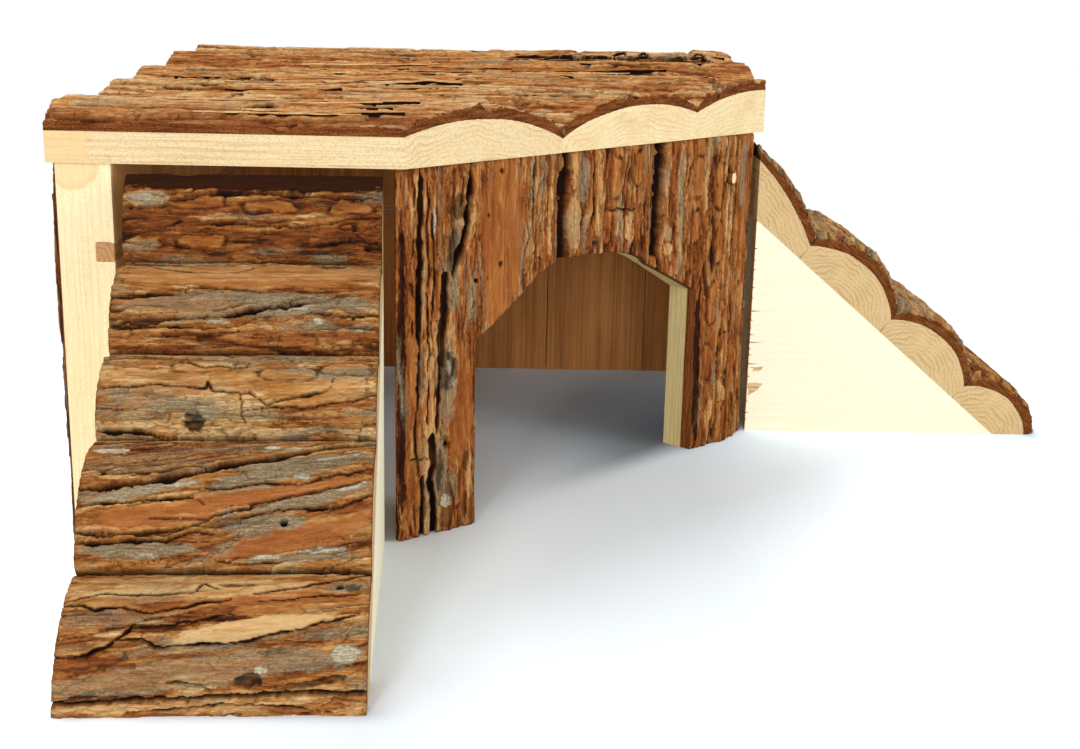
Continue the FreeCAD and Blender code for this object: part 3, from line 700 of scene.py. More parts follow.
def bark_material(name, dark, red, mid, light, pale, scales=0.4):
    """Bark: plates of several browns, red fibres where it is bare, grey weathering, near-black
    cracks and painted shade under edges and in hollows. The relief's own values arrive as the attributes
    bark and calm."""
    n = Nodes(name)
    bark, _, _, raw = n.parts("Attribute", {})
    bark.socket.node.attribute_name = "bark"
    # the second channel of bark is the cracks together with the painted shade that the relief puts in
    tone, crack, weathered = n.parts("SeparateColor", {"Color": bark})
    streak = n.noise((9, 0.5, 0.5), 5, 0.65)
    blotch = n.noise((16, 5, 5), 3, 0.55, (3, 1, 2))
    speck = n.noise((0.8, 0.4, 0.4), 3, 0.7, (5, 5, 1))
    line, cell = n.plates((13, 3.6, 3.6), 1.1, 0.05)
    thin, flake = n.plates((5.5, 1.1, 1.1), 0.9, 0.09, (4, 2, 7))
    calm = n.add("Attribute", {}, "Fac", attribute_name="calm")
    lively = 1.0 - calm * 0.65
    uneven = (streak - 0.5) * 0.52 + (blotch - 0.5) * 0.42 + (speck - 0.5) * 0.40
    uneven = uneven + (cell - 0.5) * (0.5 * scales) + (flake - 0.5) * 0.16
    t = tone + uneven * lively
    plates = n.ramp(t, (0.08, dark), (0.30, red), (0.50, mid), (0.70, light), (0.92, pale))
    fibres = n.ramp(t, (0.1, srgb(88, 44, 18)), (0.42, srgb(148, 82, 38)), (0.62, srgb(176, 106, 54)),
                    (0.88, srgb(208, 148, 90)))
    colour = n.mix((raw * 0.85).clamp(), plates, fibres)
    patchy = speck * 0.5 + streak * 0.5
    lichen = n.ramp(patchy, (0.28, srgb(82, 68, 48)), (0.46, srgb(138, 120, 90)),
                    (0.60, srgb(176, 160, 128)), (0.76, srgb(214, 202, 174)))
    colour = n.mix((weathered * 0.9).clamp(), colour, lichen)
    white = n.ramp(patchy, (0.36, srgb(150, 134, 104)), (0.52, srgb(214, 202, 174)),
                   (0.7, srgb(242, 236, 216)))
    colour = n.mix((weathered - 1.0).clamp(), colour, white)
    # thin cracks round the flakes, broken off here and there
    some = n.ramp(blotch, (0.47, BLACK), (0.56, WHITE))
    seams = n.math("MAXIMUM", line * some * scales, thin * streak * 0.7) * lively
    # cracks and painted shade, with the thin seams round the flakes, darken the colour to near-black
    shade = n.math("MAXIMUM", n.math("POWER", (crack * 1.0).clamp(), 0.8), seams).clamp()
    colour = n.mix(shade, colour, srgb(26, 13, 8))
    n.finish(colour, 0.92, streak * 0.8 + speck * 0.6 - seams * 0.9, 0.85, 0.0005, 0.1)


def bark_cut_material(name):
    """The sawn or ripped section of the bark: dense, red-brown and fibrous."""
    n = Nodes(name)
    fibre = n.noise((0.9, 0.5, 0.3), 5, 0.7)
    band = n.noise((12, 5, 0.9), 3, 0.5, (2, 7, 3))
    colour = n.ramp(fibre * 0.65 + band * 0.35, (0.34, srgb(52, 24, 10)), (0.46, srgb(100, 52, 22)),
                    (0.56, srgb(142, 82, 38)), (0.70, srgb(192, 130, 74)))
    n.finish(colour, 0.95, fibre, 0.9, 0.0006, 0.1)


def wood_material(name, pale, tan, line, contrast, ring=1.9, stain=0.35, fuzz=0.3, strips=0.0, spots=(),
                  deep=None):
    """Sawn softwood. The rings run about the slab's own pith, which is its object's X axis. fuzz is how
    speckled the saw left it, strips how much the tone changes from one strip to the next, and spots are
    stains: place and radii in the object's own millimetres. deep is the place across the slab from which
    the wood is painted darker and warmer, as shade and bounce light inside the house, and that colour."""
    n = Nodes(name)
    _, y, z = n.parts("SeparateXYZ", {"Vector": n.place((1000, 1000, 1000))})
    radius = n.math("SQRT", y * y + z * z) + n.noise((60, 14, 14), 2, 0.5) * 3.2
    rings = n.math("FRACT", radius / ring + n.noise((400, 7, 7), 1, 0.5, (1, 2, 3)) * 2.6)
    late = n.ramp(rings, (0.0, BLACK), (0.45, grey(0.15)), (0.88, WHITE), (0.99, grey(0.1)))
    late = late * n.ramp(n.noise((50, 9, 9), 2, 0.5, (3, 3, 8)), (0.35, grey(0.2)), (0.65, WHITE))
    fibre = n.noise((26, 0.4, 0.4), 5, 0.65, (4, 4, 4))
    cloud = n.noise((34, 12, 12), 3, 0.6, (9, 2, 6))
    dashes = n.ramp(n.noise((3.2, 0.25, 0.25), 2, 0.5, (1, 8, 2)), (0.66, BLACK), (0.76, WHITE))
    sawn = n.noise((0.7, 0.6, 0.6), 3, 0.75, (7, 7, 7))
    base = n.mix(((cloud - 0.42) * (3.0 * stain)).clamp(), pale, tan)
    if deep:
        base = n.mix(((y - deep[0]) * 0.35).clamp(), base, deep[1])
    if strips:
        strip = n.ramp(n.noise((900, 11, 900), 2, 0.55, (0, 3, 0)), (0.40, BLACK),
                       (0.47, grey(0.6 * strips)), (0.49, grey(0.1 * strips)), (0.58, grey(strips)),
                       (0.60, grey(0.3 * strips)))
        base = n.mix(strip, base, line)
    colour = n.mix(late * contrast, base, line)
    streaks = n.ramp(fibre, (0.46, BLACK), (0.72, WHITE))
    colour = n.mix(streaks * min(1.0, 1.3 * contrast), colour, line)
    colour = n.mix(n.ramp(sawn, (0.50, BLACK), (0.68, WHITE)) * fuzz, colour, line)
    colour = n.mix(dashes * 0.4, colour, srgb(124, 84, 48))
    for (at_x, at_y, at_z), (long, wide, high) in spots:
        gone = n.place((1000 / long, 1000 / wide, 1000 / high), (-at_x / long, -at_y / wide, -at_z / high))
        gone = n.vector("LENGTH", {0: gone}, "Value") + (cloud - 0.5) * 1.1 + (sawn - 0.5) * 0.4
        mark = n.ramp(gone * 0.5, (0.32, grey(0.6)), (0.46, grey(0.95)), (0.53, BLACK))
        colour = n.mix(mark, colour, srgb(234, 202, 146))
    n.finish(colour, 0.72, fibre * 0.5 + sawn * fuzz, 0.45, 0.0003, 0.22)


def in_section(width, rise, before, after, point):
    """A point of a slab's section, along, across and outwards, in its object's own millimetres."""
    _, centre, _ = arc_points((0, before), (width / 2, (before + after) / 2 + rise), (width, after), 1.0)
    return point[0], point[1] - centre[0], point[2] - centre[1]


BARK_BROWN = (srgb(54, 28, 12), srgb(116, 62, 26), srgb(164, 100, 46), srgb(194, 138, 76),
              srgb(222, 182, 124))
BARK_RED = (srgb(50, 22, 9), srgb(110, 55, 23), srgb(158, 90, 40), srgb(188, 124, 64), srgb(216, 168, 110))
BARK_GOLD = (srgb(60, 28, 10), srgb(134, 72, 28), srgb(188, 116, 56), srgb(214, 154, 90),
             srgb(236, 194, 138))
bark_material("bark", *BARK_BROWN)
bark_material("bark_scaly", *BARK_BROWN, scales=0.6)
bark_material("bark_red", *BARK_RED, scales=0.45)
bark_material("bark_roof", *BARK_GOLD, scales=0.3)
bark_cut_material("bark_cut")
# ROOM_SHADE_TAN: the pale wood painted darker and warmer, as painted shade and warm bounce light inside the
# house
TAN, ROOM_SHADE_TAN = srgb(238, 204, 146), srgb(240, 184, 118)
wood_material("wood", srgb(246, 228, 182), srgb(232, 194, 134), srgb(196, 152, 92), 0.36, stain=0.6,
              fuzz=0.5)
wood_material("wood_end", srgb(230, 204, 152), srgb(214, 172, 116), srgb(160, 118, 70), 0.6, fuzz=0.5)
wood_material("wood_jamb", srgb(222, 204, 148), srgb(204, 176, 118), srgb(160, 132, 78), 0.5)
# the inside of the back wall and of the left wall: pale wood painted warm brown as painted shade and bounce
# light in the house
wood_material("wood_back_shade", srgb(228, 160, 92), srgb(204, 132, 70), srgb(120, 70, 34), 0.3, stain=0.9,
              strips=0.5)
wood_material("wood_room_shade", ROOM_SHADE_TAN, srgb(216, 150, 88), srgb(150, 96, 52), 0.35, stain=0.8, strips=0.3)
wood_material("board", srgb(255, 251, 224), srgb(252, 240, 202), srgb(240, 222, 176), 0.2, 3.2, 0.15, 0.15)
wood_material("batten", srgb(214, 168, 118), srgb(190, 138, 88), srgb(126, 78, 42), 0.6, fuzz=0.5)
wood_material("board_end", srgb(226, 160, 98), srgb(200, 134, 76), srgb(140, 84, 42), 0.6, fuzz=0.5)
# stains on the two sawn faces that the photograph shows from the front: place in the section and radii
ROOF_FRONT = (*ROOF[0][:2], ROOF_EDGE, ROOF[0][2])
wood_material("wood_front", srgb(240, 220, 176), TAN, srgb(190, 148, 90), 0.5, fuzz=0.55, spots=[
    (in_section(*ROOF_FRONT, place), radii) for place, radii in (
        ((5, 0, 4), (9.5, 14, 13)), ((70, 0, -0.5), (7, 14, 2)), ((87, 0, -0.5), (4, 14, 1.6)))])
left_front = in_section(*LEFT[0][:2], LEFT_EDGE, LEFT[0][2], (126.5, 0, 12.5))
wood_material("wood_stained_room_shade", srgb(252, 238, 194), TAN, srgb(214, 176, 116), 0.3,
              spots=[(left_front, (7.5, 14, 7.5))], deep=(left_front[1] + 0.6, ROOM_SHADE_TAN))

steel = Nodes("steel")
steel_shade = steel.ramp(steel.noise((0.6, 0.6, 0.1), 3, 0.6), (0.3, srgb(96, 92, 88)),
                         (0.7, srgb(140, 138, 134)))
steel.add("OutputMaterial", {"Surface": steel.add("BsdfPrincipled", {
    "Base Color": steel_shade, "Metallic": 1.0, "Roughness": 0.45})})

# ---------------------------------------------------------------- roof and walls

# thick plates of bark, as in the construction: length and thickness
ROOF_PLATES, LEFT_PLATES = [(74, 1.2), (46, 0.9), (98, 1.4)], [(50, 0.8), (31, 0.6), (62, 0.7)]
PLATE_SIDE, PLATE_BETWEEN, PLATE_GAP = 3.5, 3.0, 4.5


def plates_on(kinds, i, at, wide, long):
    """The thick plates on the i-th slab of a row, in two lanes."""
    lane_wide = (wide - 2 * PLATE_SIDE - PLATE_BETWEEN) / 2
    found = []
    for lane in range(2 if kinds else 0):
        near = at + PLATE_SIDE + lane * (lane_wide + PLATE_BETWEEN)
        gone, turn, last = 0.0, 2 * i + lane, False
        while long - gone > 2 * PLATE_GAP and not last:
            plate_long, thick = kinds[turn % len(kinds)]
            last = gone + plate_long + PLATE_GAP > long
            found.append((gone, long + 9 if last else gone + plate_long, near, near + lane_wide, thick))
            gone, turn = gone + plate_long + PLATE_GAP, turn + 1
    return found


def sawn_short(a):
    """Where the corner cut ends a roof slab, for a distance from the roof's front edge."""
    return min(ROOF_WIDE, ROOF_WIDE - CUT_WIDE + a * CUT_WIDE / CUT_DEEP)


# The dark marks on the fourth and fifth slabs are painted shadow under the loose strips and the caves there.
ROOF_MARKS = read_marks("""
raw 60,5 95,8 1; tone 60,4 95,6 -.2; raw 60,16 95,5 .7; crack 70,8 80,7 92,6.5 1.8 1.8 .4;
8,9 20,8.4 38,9 .9 1.2 .4; 42,12 60,11 74,12.5 .8 1.2 .4; raw 122,12 16,9 .9; 142,33 10,9 .8;
tone 30,20 26,6 .14

crack 0,84 22,79 52,78 1.4 1.8 .6; 92,66 118,64 140,67 1.6 2 .6; raw 172,66 14,9 .9; 198,92 12,9 .9;
grey 96,74 12,3 .6

crack 0,123 30,120 66,121 1.4 1.8 .6; 90,142 125,140 150,143 1.4 1.8 .5; 120,158 150,156 186,159 2.4 2.6 1;
raw 232,132 12,10 .9; grey 150,130 16,4 .5

crack 136,174 160,178 190,180 212,178 3.4 3.2 1.2; dark 188,200 54,6 1.2; 150,205 26,6 1.2;
cave 138,205 190,203 238,200 9 3 3.4; crack 20,190 70,193 110,191 1.6 1.8 .6; grey 142,187 14,3 .7;
white 136,190 8,1.2 .5; plate 205,190 24,6 .9; grey 222,206 14,4 .6

dark 204,233.5 44,6 1.2; cave 156,233 200,236 246,236 9 3 2.6; plate 236,247 15,7 1;
crack 60,240 110,243 140,241 1.4 1.8 .6; grey 190,246 18,3 .5
""")
ROOF_STYLE = {"long": 110, "wide": 6.5, "layers": 2.3, "step": 0.62, "fibre": 0.14, "open": 0.7,
              "cross": 0.1, "grey": 0.10, "tone": 0.56, "peel": 0.9, "bark": 3.1}
WALL_STYLE = {"open": 0.7, "gap": (1.2, 1.2), "torn": 4.0}
THIN_BARK = {"bark": 1.5, "swell": 0.3, "step": 0.25, "crack": 0.7, "peel": 0.2, "tone": 0.3}


def row_of_slabs(name, row, at, axes, edge, long, seed, style, first_style, looks, first_wood, fine,
                 marks={}, plates=()):
    """Slabs side by side. The first one has a look of its own."""
    along = 0.0
    for i, (wide, rise, after) in enumerate(row, 1):
        own = {**style, **(first_style if i == 1 else {})}
        if row is ROOF:
            own["gap"] = (0.05 if i == 1 else 0.7, 0.05 if i == len(row) else 0.7)
        half_round(f"{name}_slab_{i}", "house", at, axes,
                   [(along, 0), (along, edge), (along + wide, after), (along + wide, 0)], rise, long,
                   seed + 31 * i, own, (first_wood if i == 1 else looks[0], *looks[1:]), marks.get(i, ()),
                   plates_on(plates, i, along, wide, long), fine=fine,
                   end=sawn_short if row is ROOF and along < CUT_DEEP else None)
        edge, along = after, along + wide


row_of_slabs("roof", ROOF, (0, 0, ROOM_HIGH), (TO_RIGHT, TO_BACK, UP), ROOF_EDGE, ROOF_WIDE, 1000,
             ROOF_STYLE, {}, ("wood", "bark_roof", "bark_cut"), "wood_front", (0.8, 0.45), ROOF_MARKS,
             ROOF_PLATES)
row_of_slabs("left_wall", LEFT, (WALL, WALLS_IN, 0), (UP, TO_BACK, -TO_RIGHT), LEFT_EDGE, ROOM_HIGH, 2000,
             WALL_STYLE, THIN_BARK, ("wood_room_shade", "bark", "bark_cut"), "wood_stained_room_shade", (0.9, 0.55),
             plates=LEFT_PLATES)
row_of_slabs("back_wall", BACK, (WALL, ROOF_DEEP - 1 - WALL, 0), (UP, TO_RIGHT, TO_BACK), BACK_EDGE,
             ROOM_HIGH, 3000, WALL_STYLE, {}, ("wood_back_shade", "bark", "bark_cut"), "wood_back_shade", (0.9, 0.55))

# ---------------------------------------------------------------- front panel

DOOR_MID = (DOOR_RIGHT + DOOR_LEFT) / 2
ARCH_RISE = DOOR_HIGH - SHOULDER_HIGH
ARCH_RADIUS = ((ARCH_WIDE / 2) ** 2 + ARCH_RISE**2) / (2 * ARCH_RISE)


def door_top(a):
    """Height of the doorway for a distance from the panel's right corner."""
    d = abs(a - DOOR_MID)
    if d <= ARCH_WIDE / 2:
        return DOOR_HIGH - ARCH_RADIUS + math.sqrt(ARCH_RADIUS**2 - d * d)
    full = (DOOR_LEFT - DOOR_RIGHT) / 2
    t = min(1.0, (d - ARCH_WIDE / 2) / (full - ARCH_WIDE / 2))
    return SHOULDER_HIGH + (JAMB_HIGH - SHOULDER_HIGH) * t


PANEL_AT = Vector((ROOF_WIDE, CUT_DEEP, 0)) - SLANT_OUT * PANEL_BACK
PANEL_AXES = (UP, -SLANT_DIR, SLANT_OUT)
PANEL_STOP = 3.5  # how far to the left of the corner the panel ends, along the roof's front edge


def panel_left(off):
    """Where the panel's left end lies at a height above its inner face."""
    return SLANT * (1 + PANEL_STOP / CUT_WIDE) - (PANEL_BACK - off) * CUT_DEEP / CUT_WIDE


# On the first slab the negative tone mark beside the doorway's jamb, and on the third the one along its left
# edge, are painted shade on the bark turning away there.
PANEL_MARKS = read_marks("""
smooth 100,10 32,6 .7; grey 112,11.5 16,3.4 .8; tone 56,9 54,5 .14; 102,51.2 28,1.9 .45;
grey 108,51.4 20,1.7 .7; tone 111,37.6 15,1.3 .42; 22,24 8,1.5 .3; 91,56.5 4,1.9 .5; grey 91,56.5 4,1.8 .5;
tone 84.5,56.4 3,2 .45; grey 97.8,49.5 4,1.6 .9; dark 97.8,49 3,1.1 .6; smooth 32,39.6 36,2.2 .7;
tone 32,39.6 38,2.4 -.5; bulge 8,26 34,15 2.6; 0,14 30,9 1.4; scale 60,31 9,2.2 .12; 108,30 10,2 .1;
84,28 9,2.2 .06; 36,33 8,2.2 .1; 112,42 9,2.4 .14; 92,43 7,2.2 .04; gap 127,61.4 97,62 84,62.2 4.4 3.4 0;
crack 127,18.2 114,18.5 100,21.1 88,21.8 77,21.7 64,22.8 49,24.2 44,25.9 26,27.2 0,27.9 1.9 3 .5;
gap 24,27.2 10,27.9 0,27.9 1.8 3 0; crack 51,18.8 42,18.7 25,21.1 18,22 1 2 .4; 125,34.9 116,35.5 1 2 .3;
96,34.6 84,36.2 76,36.7 64,37.2 1.7 2.6 .5; 127,46 118,46.8 108,48.2 96,49.8 80,47.8 72,46.4 1.1 2.2 .5;
60,37.9 50,39 35,38.6 20,39.3 .9 1.8 .3; 46.1,24.6 46.3,20.8 .5 1 .2; 17.5,25.8 17.8,20.4 .7 1.2 .3;
hole 65.7,10.8 .7; 113.4,23.4 1.5

tone 96,84.4 7,3.4 .4; plate 96,84.4 7,3.2 .6; tone 99,91.5 5.5,1.3 .45; grey 99,91.5 5,1 .5;
116,109.3 11,2.3 .85; tone 100,112.4 10,2.6 .5; plate 100,112.4 10,2.6 .5; grey 100,112.4 9,2 .4;
106,66.4 22,1.2 .6; raw 107,71.5 24,3.2 .9; tone 107,78 20,3 .12; scale 116,94 8,2.6 .1; 98,98 7,2.2 .04;
118,80 7,2.2 .12; gap 127,115 113,115.8 102,116 88,116.4 4 3.4 0;
crack 127,86.2 117,87.2 111,88.8 105,90 1.7 2.6 .4; 127,104.9 116,104.9 98,104.5 .9 1.8 .4;
108,109.5 98,109.7 1 1.8 .3; 121,100.9 111,100.5 .9 1.8 .3;
104.5,95.7 103.4,90 103.8,86 102.9,80.5 .8 1.4 .5; hole 92.6,103.3 .9

smooth 100,153 36,13 .9; bulge 90,156 36,10 .8; tone 97,153 34,12 .05; smooth 44,172 24,6 .7;
grey 117,137.8 11,1.3 .8; tone 103,125 14,1.6 .4; dark 60,188.6 9,1.6 .9; grey 58,188.9 12,1.8 .6;
dark 98,176 9,2.4 .9; 112.6,173 4.6,5.4 .8; knot 112.6,173 5,6 .9; grey 54,178.5 16,5 .8;
dark 57.5,178 8,4.4 1; white 58.5,177.6 3,1.2 1; 53.6,175.7 2.2,1 .9; grey 24,180.5 12,3.4 .8;
dark 23,181.2 9,1.6 .9; 5,178 5,3 .6; white 11.3,178.9 2.6,2.6 1.1; grey 16,176 7,3 .6;
white 109.3,183.5 5,.7 .9; tone 60,186 66,3 .1; smooth 40,193 38,3.6 .6; tone 50,196 54,1.9 -.5;
dark 24,169.8 4,1.6 .7; 8,170.4 6,1.4 .6; tone 18,168.5 8,1.2 .4;
crack 126.5,135.7 120,136.6 113,136.4 107,136.9 1.6 2.4 .3;
126,127.8 114,128.1 102,131.3 92,134 84,135.3 1.1 2.2 .4; 108,141.3 99,138.6 93,141.4 83,141.9 .7 1.6 .3;
127,123 110,122.6 96,125 .6 1.4 .3; 127,189.2 115,189 103,189.4 91,190.1 80,189.9 62,189.6 1.8 3 .4;
gap 122,189 103,189.4 70,190 2.2 3 0; crack 62,189.6 44,190.6 31,191 22.6,189.3 .8 1.8 .4;
gap 21,188 10,188.3 0,188.5 1.7 3 0;
crack 127,168.1 118,169.2 112.7,169.9 107.7,170.1 99.6,172.2 94.3,174.3 89.4,175.8 2.4 3.2 -.9;
gap 90,179.2 81,179.4 75,180.1 69,180.6 60,180.8 3.2 3.2 0;
crack 64,181 52,181.3 45,182 36,182.4 1.6 2.4 -.4; gap 34,184.5 25,183.7 19,185 11,183.8 0,183.6 3 3.2 0;
crack 122,186.2 103,186.3 88,186.1 .7 1.5 .3; 111,184.5 90,183.9 74,184.6 .6 1.3 .3;
86,186.6 66,185.6 40,186.2 .7 1.4 .3; 28.5,192.8 27.2,185.1 .5 1 .2; hole 31.5,178.7 1.1; 87,166.2 .9;
123,154.1 .9; 108.8,160.7 .5; 91.3,154.4 .9
""")
PANEL_STYLE = {"long": 60, "wide": 6, "open": 0.75, "crack": 1.7, "cross": 0.22, "grey": 0.10, "tone": 0.37,
               "peel": 0.5, "layers": 2.7, "vary": 0.85}
# the slabs' sections, rise of the crown, gaps to the neighbours
PANEL = [([(1.5, 0), (1.5, 9.5), (65, 7), (65, 0)], 4.75, (0.6, 0.4)),
         ([(65, 0), (65, 7), (118, 7), (118, 0)], 6, (0.4, 0.4)),
         ([(118, 0), (118, 7), (panel_left(8), 8), (panel_left(0), 0)], 5.5, (0.7, 0.3))]
for i, (corners, rise, gaps) in enumerate(PANEL, 1):
    low, high = corners[0][0], corners[2][0]
    spans = {1: [(low, DOOR_RIGHT, None, "_leg"), (DOOR_RIGHT, high, door_top, "_head")],
             2: [(low, high, door_top, "")],
             3: [(low, DOOR_LEFT, door_top, "_head"), (DOOR_LEFT, high, None, "_leg")]}[i]
    for a, b, start, part in spans:
        half_round(f"front_panel_slab_{i}", "house", PANEL_AT, PANEL_AXES, corners, rise, ROOM_HIGH,
                   4000 + 31 * i, {**PANEL_STYLE, "gap": gaps}, ("wood_jamb", "bark_red", "bark_cut"),
                   PANEL_MARKS[i], start=start, fine=(0.6, 0.42), part=part,
                   span=((a - low) / (high - low), (b - low) / (high - low)))

# ---------------------------------------------------------------- ramps

# across the ramp from its left, and up the slope from its toe
# On the first slab the negative tone mark along its top is a painted shadow of the roof.
FRONT_RAMP_MARKS = read_marks("""
smooth 40,160 60,4.6 .8; tone 40,159.6 60,5 -.5; raw 16,147 14,2.4 .8; 62,143 22,3.4 .7; 28,150 30,3.6 .5;
scale 22,152.2 10,2.3 -.1; 46,150.8 9,1.8 .05; 71.5,150.4 7.5,2.2 -.06; 24.8,141.5 8,2.2 0;
tone 40,147.8 21,1.2 .4; grey 36,147.9 14,.9 .5; tone 7,153 8,2.8 .45; grey 7,153 7,2.2 .8;
white 6,153 5,1.2 .8; tone 6,141 7,2.6 .35; grey 5,140.6 7,2 .7; 64,138.4 7,1.4 .9;
crack 0,150 10,151.3 26,154.2 39,154.9 54,154.3 66,153.6 81,153.4 1.1 2 .5;
23,146.2 39,145.6 57,145.6 64,146 1.2 1.8 .4; 64,146.4 72,147.4 81,148 .8 1.4 .3; 14,145 19,147.4 .8 1.2 .3;
hole 72.2,145.4 1; crack 58,141 70,142.4 81,142 .6 1 .3; hole 76.4,140.8 1.2

smooth 42,127 50,7.5 .85; raw 42,127 50,7 .65; tone 42,127 50,7 .14; 30,134.6 18,1.6 .4;
white 38,135.6 13,.8 .6; grey 66,134.6 7,2 1; white 66,135 3.5,1 .8; grey 42,114.8 46,4.2 1;
smooth 24,114 20,3.2 .5; white 52,113.4 12,.8 .8; 33,109.4 4,.7 .9; 62.7,109.5 2,1 1; 75.5,107.5 4,.7 .8;
raw 45,105.6 46,2.6 .6; tone 40,103 46,1.6 -.3; crack 60,133.3 66,132.8 74,133.3 .9 1.8 .4;
0,135.6 14,135.8 30,135 .6 1.2 .3; 9,131.6 23,127.8 37,128.1 45,133 .45 1 .25;
18,119.2 27,120 39,119.6 50,119 .8 1.6 .5;
0,109 18,109.8 26,110.4 33,111 41,112.8 49,113.6 58,114.8 64,115.4 1.2 2.2 .7;
12,106 22,106.7 31,106.4 .7 1.4 .3; 0,107.6 11,108.3 25,108.1 .5 1 .3; 60,112 70,111 81,111.4 .5 1 .3

smooth 24,88 26,6 .7; 60,84 20,6 .6; tone 40,88 60,11 .1; scale 30,93 10,2.3 .06; 72,92 8,2.6 .1;
55,90 9,2.6 0; tone 31,98.2 14,2 .4; white 31,98.4 8,1.3 .4; raw 50,93.5 7,2.4 .9; 18,93.5 8,2 .6;
grey 31,77.5 6,3.2 1; dark 28.5,75.5 3.5,3.5 1; grey 12,77 11,2.6 .6;
crack 21,95.9 31,92.3 42,92.8 43,96.2 .5 1 .4;
0,84.4 8,84.9 14,86.1 23,85.5 30.7,84.5 31.8,87 33.1,83.9 44,83.7 49,79.8 59,81.9 66,83.8 69,88.5 .65 1.3
.45; 41,83.4 42.4,75.3 .5 1 .2; 0,78.6 6,78.1 13,78.9 .4 .8 .2; 42,78 49,79 61,79 81,82.5 .5 1.1 .35;
0,73.4 11,73.3 21,72.4 .9 1.6 .4

grey 20,58 22,5 .4; smooth 22,41.5 20,4.5 .9 .05; raw 20,41.5 20,3.6 .95 .05; smooth 52,48.6 30,3.4 .85 .17;
raw 54,48.4 30,3 .95 .18; smooth 62,36.6 24,4 .8 .22; raw 62,36.2 24,3.6 .9 .24;
smooth 16,48.4 15,2.2 .9 .22; white 15,48.3 15,1.9 .6 .24; grey 58,56 26,4.2 1 .3; white 70,61 8,1 .8 .2;
28,51.2 6,.8 .8 .2; 61,53.2 3,.8 .9; 7,63.6 6,1.5 1.1; grey 45,65.3 20,1.6 .7 .08;
white 51.2,66.3 2.5,.9 1.1; 58.3,65.8 3.5,1.1 1; 41.5,42.2 5,.9 1 .2; grey 66,46.6 18,2.2 1 .28;
white 75,50.2 5,1.3 .9 .3; grey 52,39.4 13,2.4 1 .12; 16,33.2 18,2.6 1; white 19,32 5,.6 .8;
grey 62,31.4 18,1.5 .9 .03; white 52,31.6 5,.8 1 .06; 68,33 8,.8 .9 .05;
crack 0,49.2 15,51.1 26,53.4 34,55.8 44,58.9 52,60.3 62,64 66,66.3 71,67.3 81,68.6 2.3 3.2 1.1;
0,43.8 11,45.2 19,46.2 31,46.9 35,45.2 .7 1.4 .5; 31,49.5 40,49.5 51,51.5 60,51.1 66,53 81,56.7 .6 1.2 .5;
20,41.2 35.6,41.2 47,43.7 47.2,45.3 52,46.2 63,48.3 72,50.4 81,53.1 .6 1.3 .5;
45,40.9 54,43 62,43.7 72,44.3 81,46.9 .9 1.8 .5; 0,37.2 16,36.8 25,37.8 36,40.4 .9 1.8 .5;
0,34.8 13,35.1 25,35.6 31,37.5 38,36.9 1.1 2 .6; 38,31 44,30.2 56,30.6 .7 1.4 .4; hole 56.8,39.8 1.1;
6,55.1 .9; 34,56 .8

smooth 40,20 60,10 .6; tone 30,22 40,5 .22; raw 58,17.4 24,2.6 1 .04; smooth 50,8 25,3.4 .9 .16;
tone 50,8 25,3.6 .3 .16; plate 50,8 25,3.2 .5 .16; grey 10,11 11,3.4 .5; raw 9,-1.6 12,3 1; 6,5.5 5,2 .7;
grey 36,-3.6 44,4.4 .85 .12; smooth 36,-3.6 40,3.4 .5 .12; tone 35,-7 6,1.4 .5; grey 65,-1 12,3 .8;
white 75.5,1 4.5,3 .85; dark 50,-5.6 4,2.4 1; white 53.5,-3 2,1.2 1; dark 67,-6.4 11,1.2 1 .2;
grey 74.5,21.8 6,2.4 1; dark 76.5,21.8 2.5,2 .9; 45,22.8 6,1 .8; tone 40,-12 60,1.8 .3;
raw 40,-12 60,1.8 .5; crack 0,16 9,19.6 19,18.8 34,19.9 36,23.8 40,21.1 .5 1 .4;
0,14.6 6,15.7 9,13.9 16,14.9 23,13.1 32,14.5 36,15.9 44,17.4 .8 1.5 .5;
18,9.3 28,9.3 37,10.9 45,12.6 .5 1 .35; 50,19.4 61,21.5 70,24.1 81,27.4 .7 1.3 .4;
52,16.6 67,18.5 81,19.3 .5 1 .3;
16,4.9 23,5.1 26,2.7 30,3.6 39,3.5 49,4.1 53,5.6 65,8.4 77,11.7 81,12.4 .75 1.6 .6;
0,.2 8,.7 13,2.5 17,6.1 19.5,9.3 .9 1.6 .6; 29,-6 39,-6.6 41,-8.4 .5 1 .3;
gap 0,-10.9 17,-10.3 37,-9.8 54,-9 81,-8.7 1 2.2 0;
crack 19,-13 31,-12.6 42,-11.4 51,-11 60,-12.1 72,-12.9 .5 1 .3; hole 72.8,21.8 1.1
""")
RAMP_STYLE = {"long": 50, "wide": 6.5, "open": 0.35, "grey": 0.22, "bark": 4.2, "tone": 0.52}
FRONT_STYLES = {
    1: {"cross": 0.35, "tone": 0.38, "wide": 8, "layers": 1.5, "step": 0.36, "vary": 0.6, "flake": 0.6},
    3: {"cross": 0.35, "step": 0.35, "layers": 1.8},
    4: {"slant": 0.2, "layers": 1.9}, 5: {"slant": 0.1, "layers": 1.7}}
RIGHT_STYLES = {i: {"lift": 1.9, "gap": (0.3, 0.3)} for i in range(1, len(RIGHT_RAMP) + 1)}

def ramp_axes(turn):
    """Outwards and across, for a ramp that leads down in the direction turn."""
    return Vector((math.cos(turn), math.sin(turn), 0)), Vector((-math.sin(turn), math.cos(turn), 0))


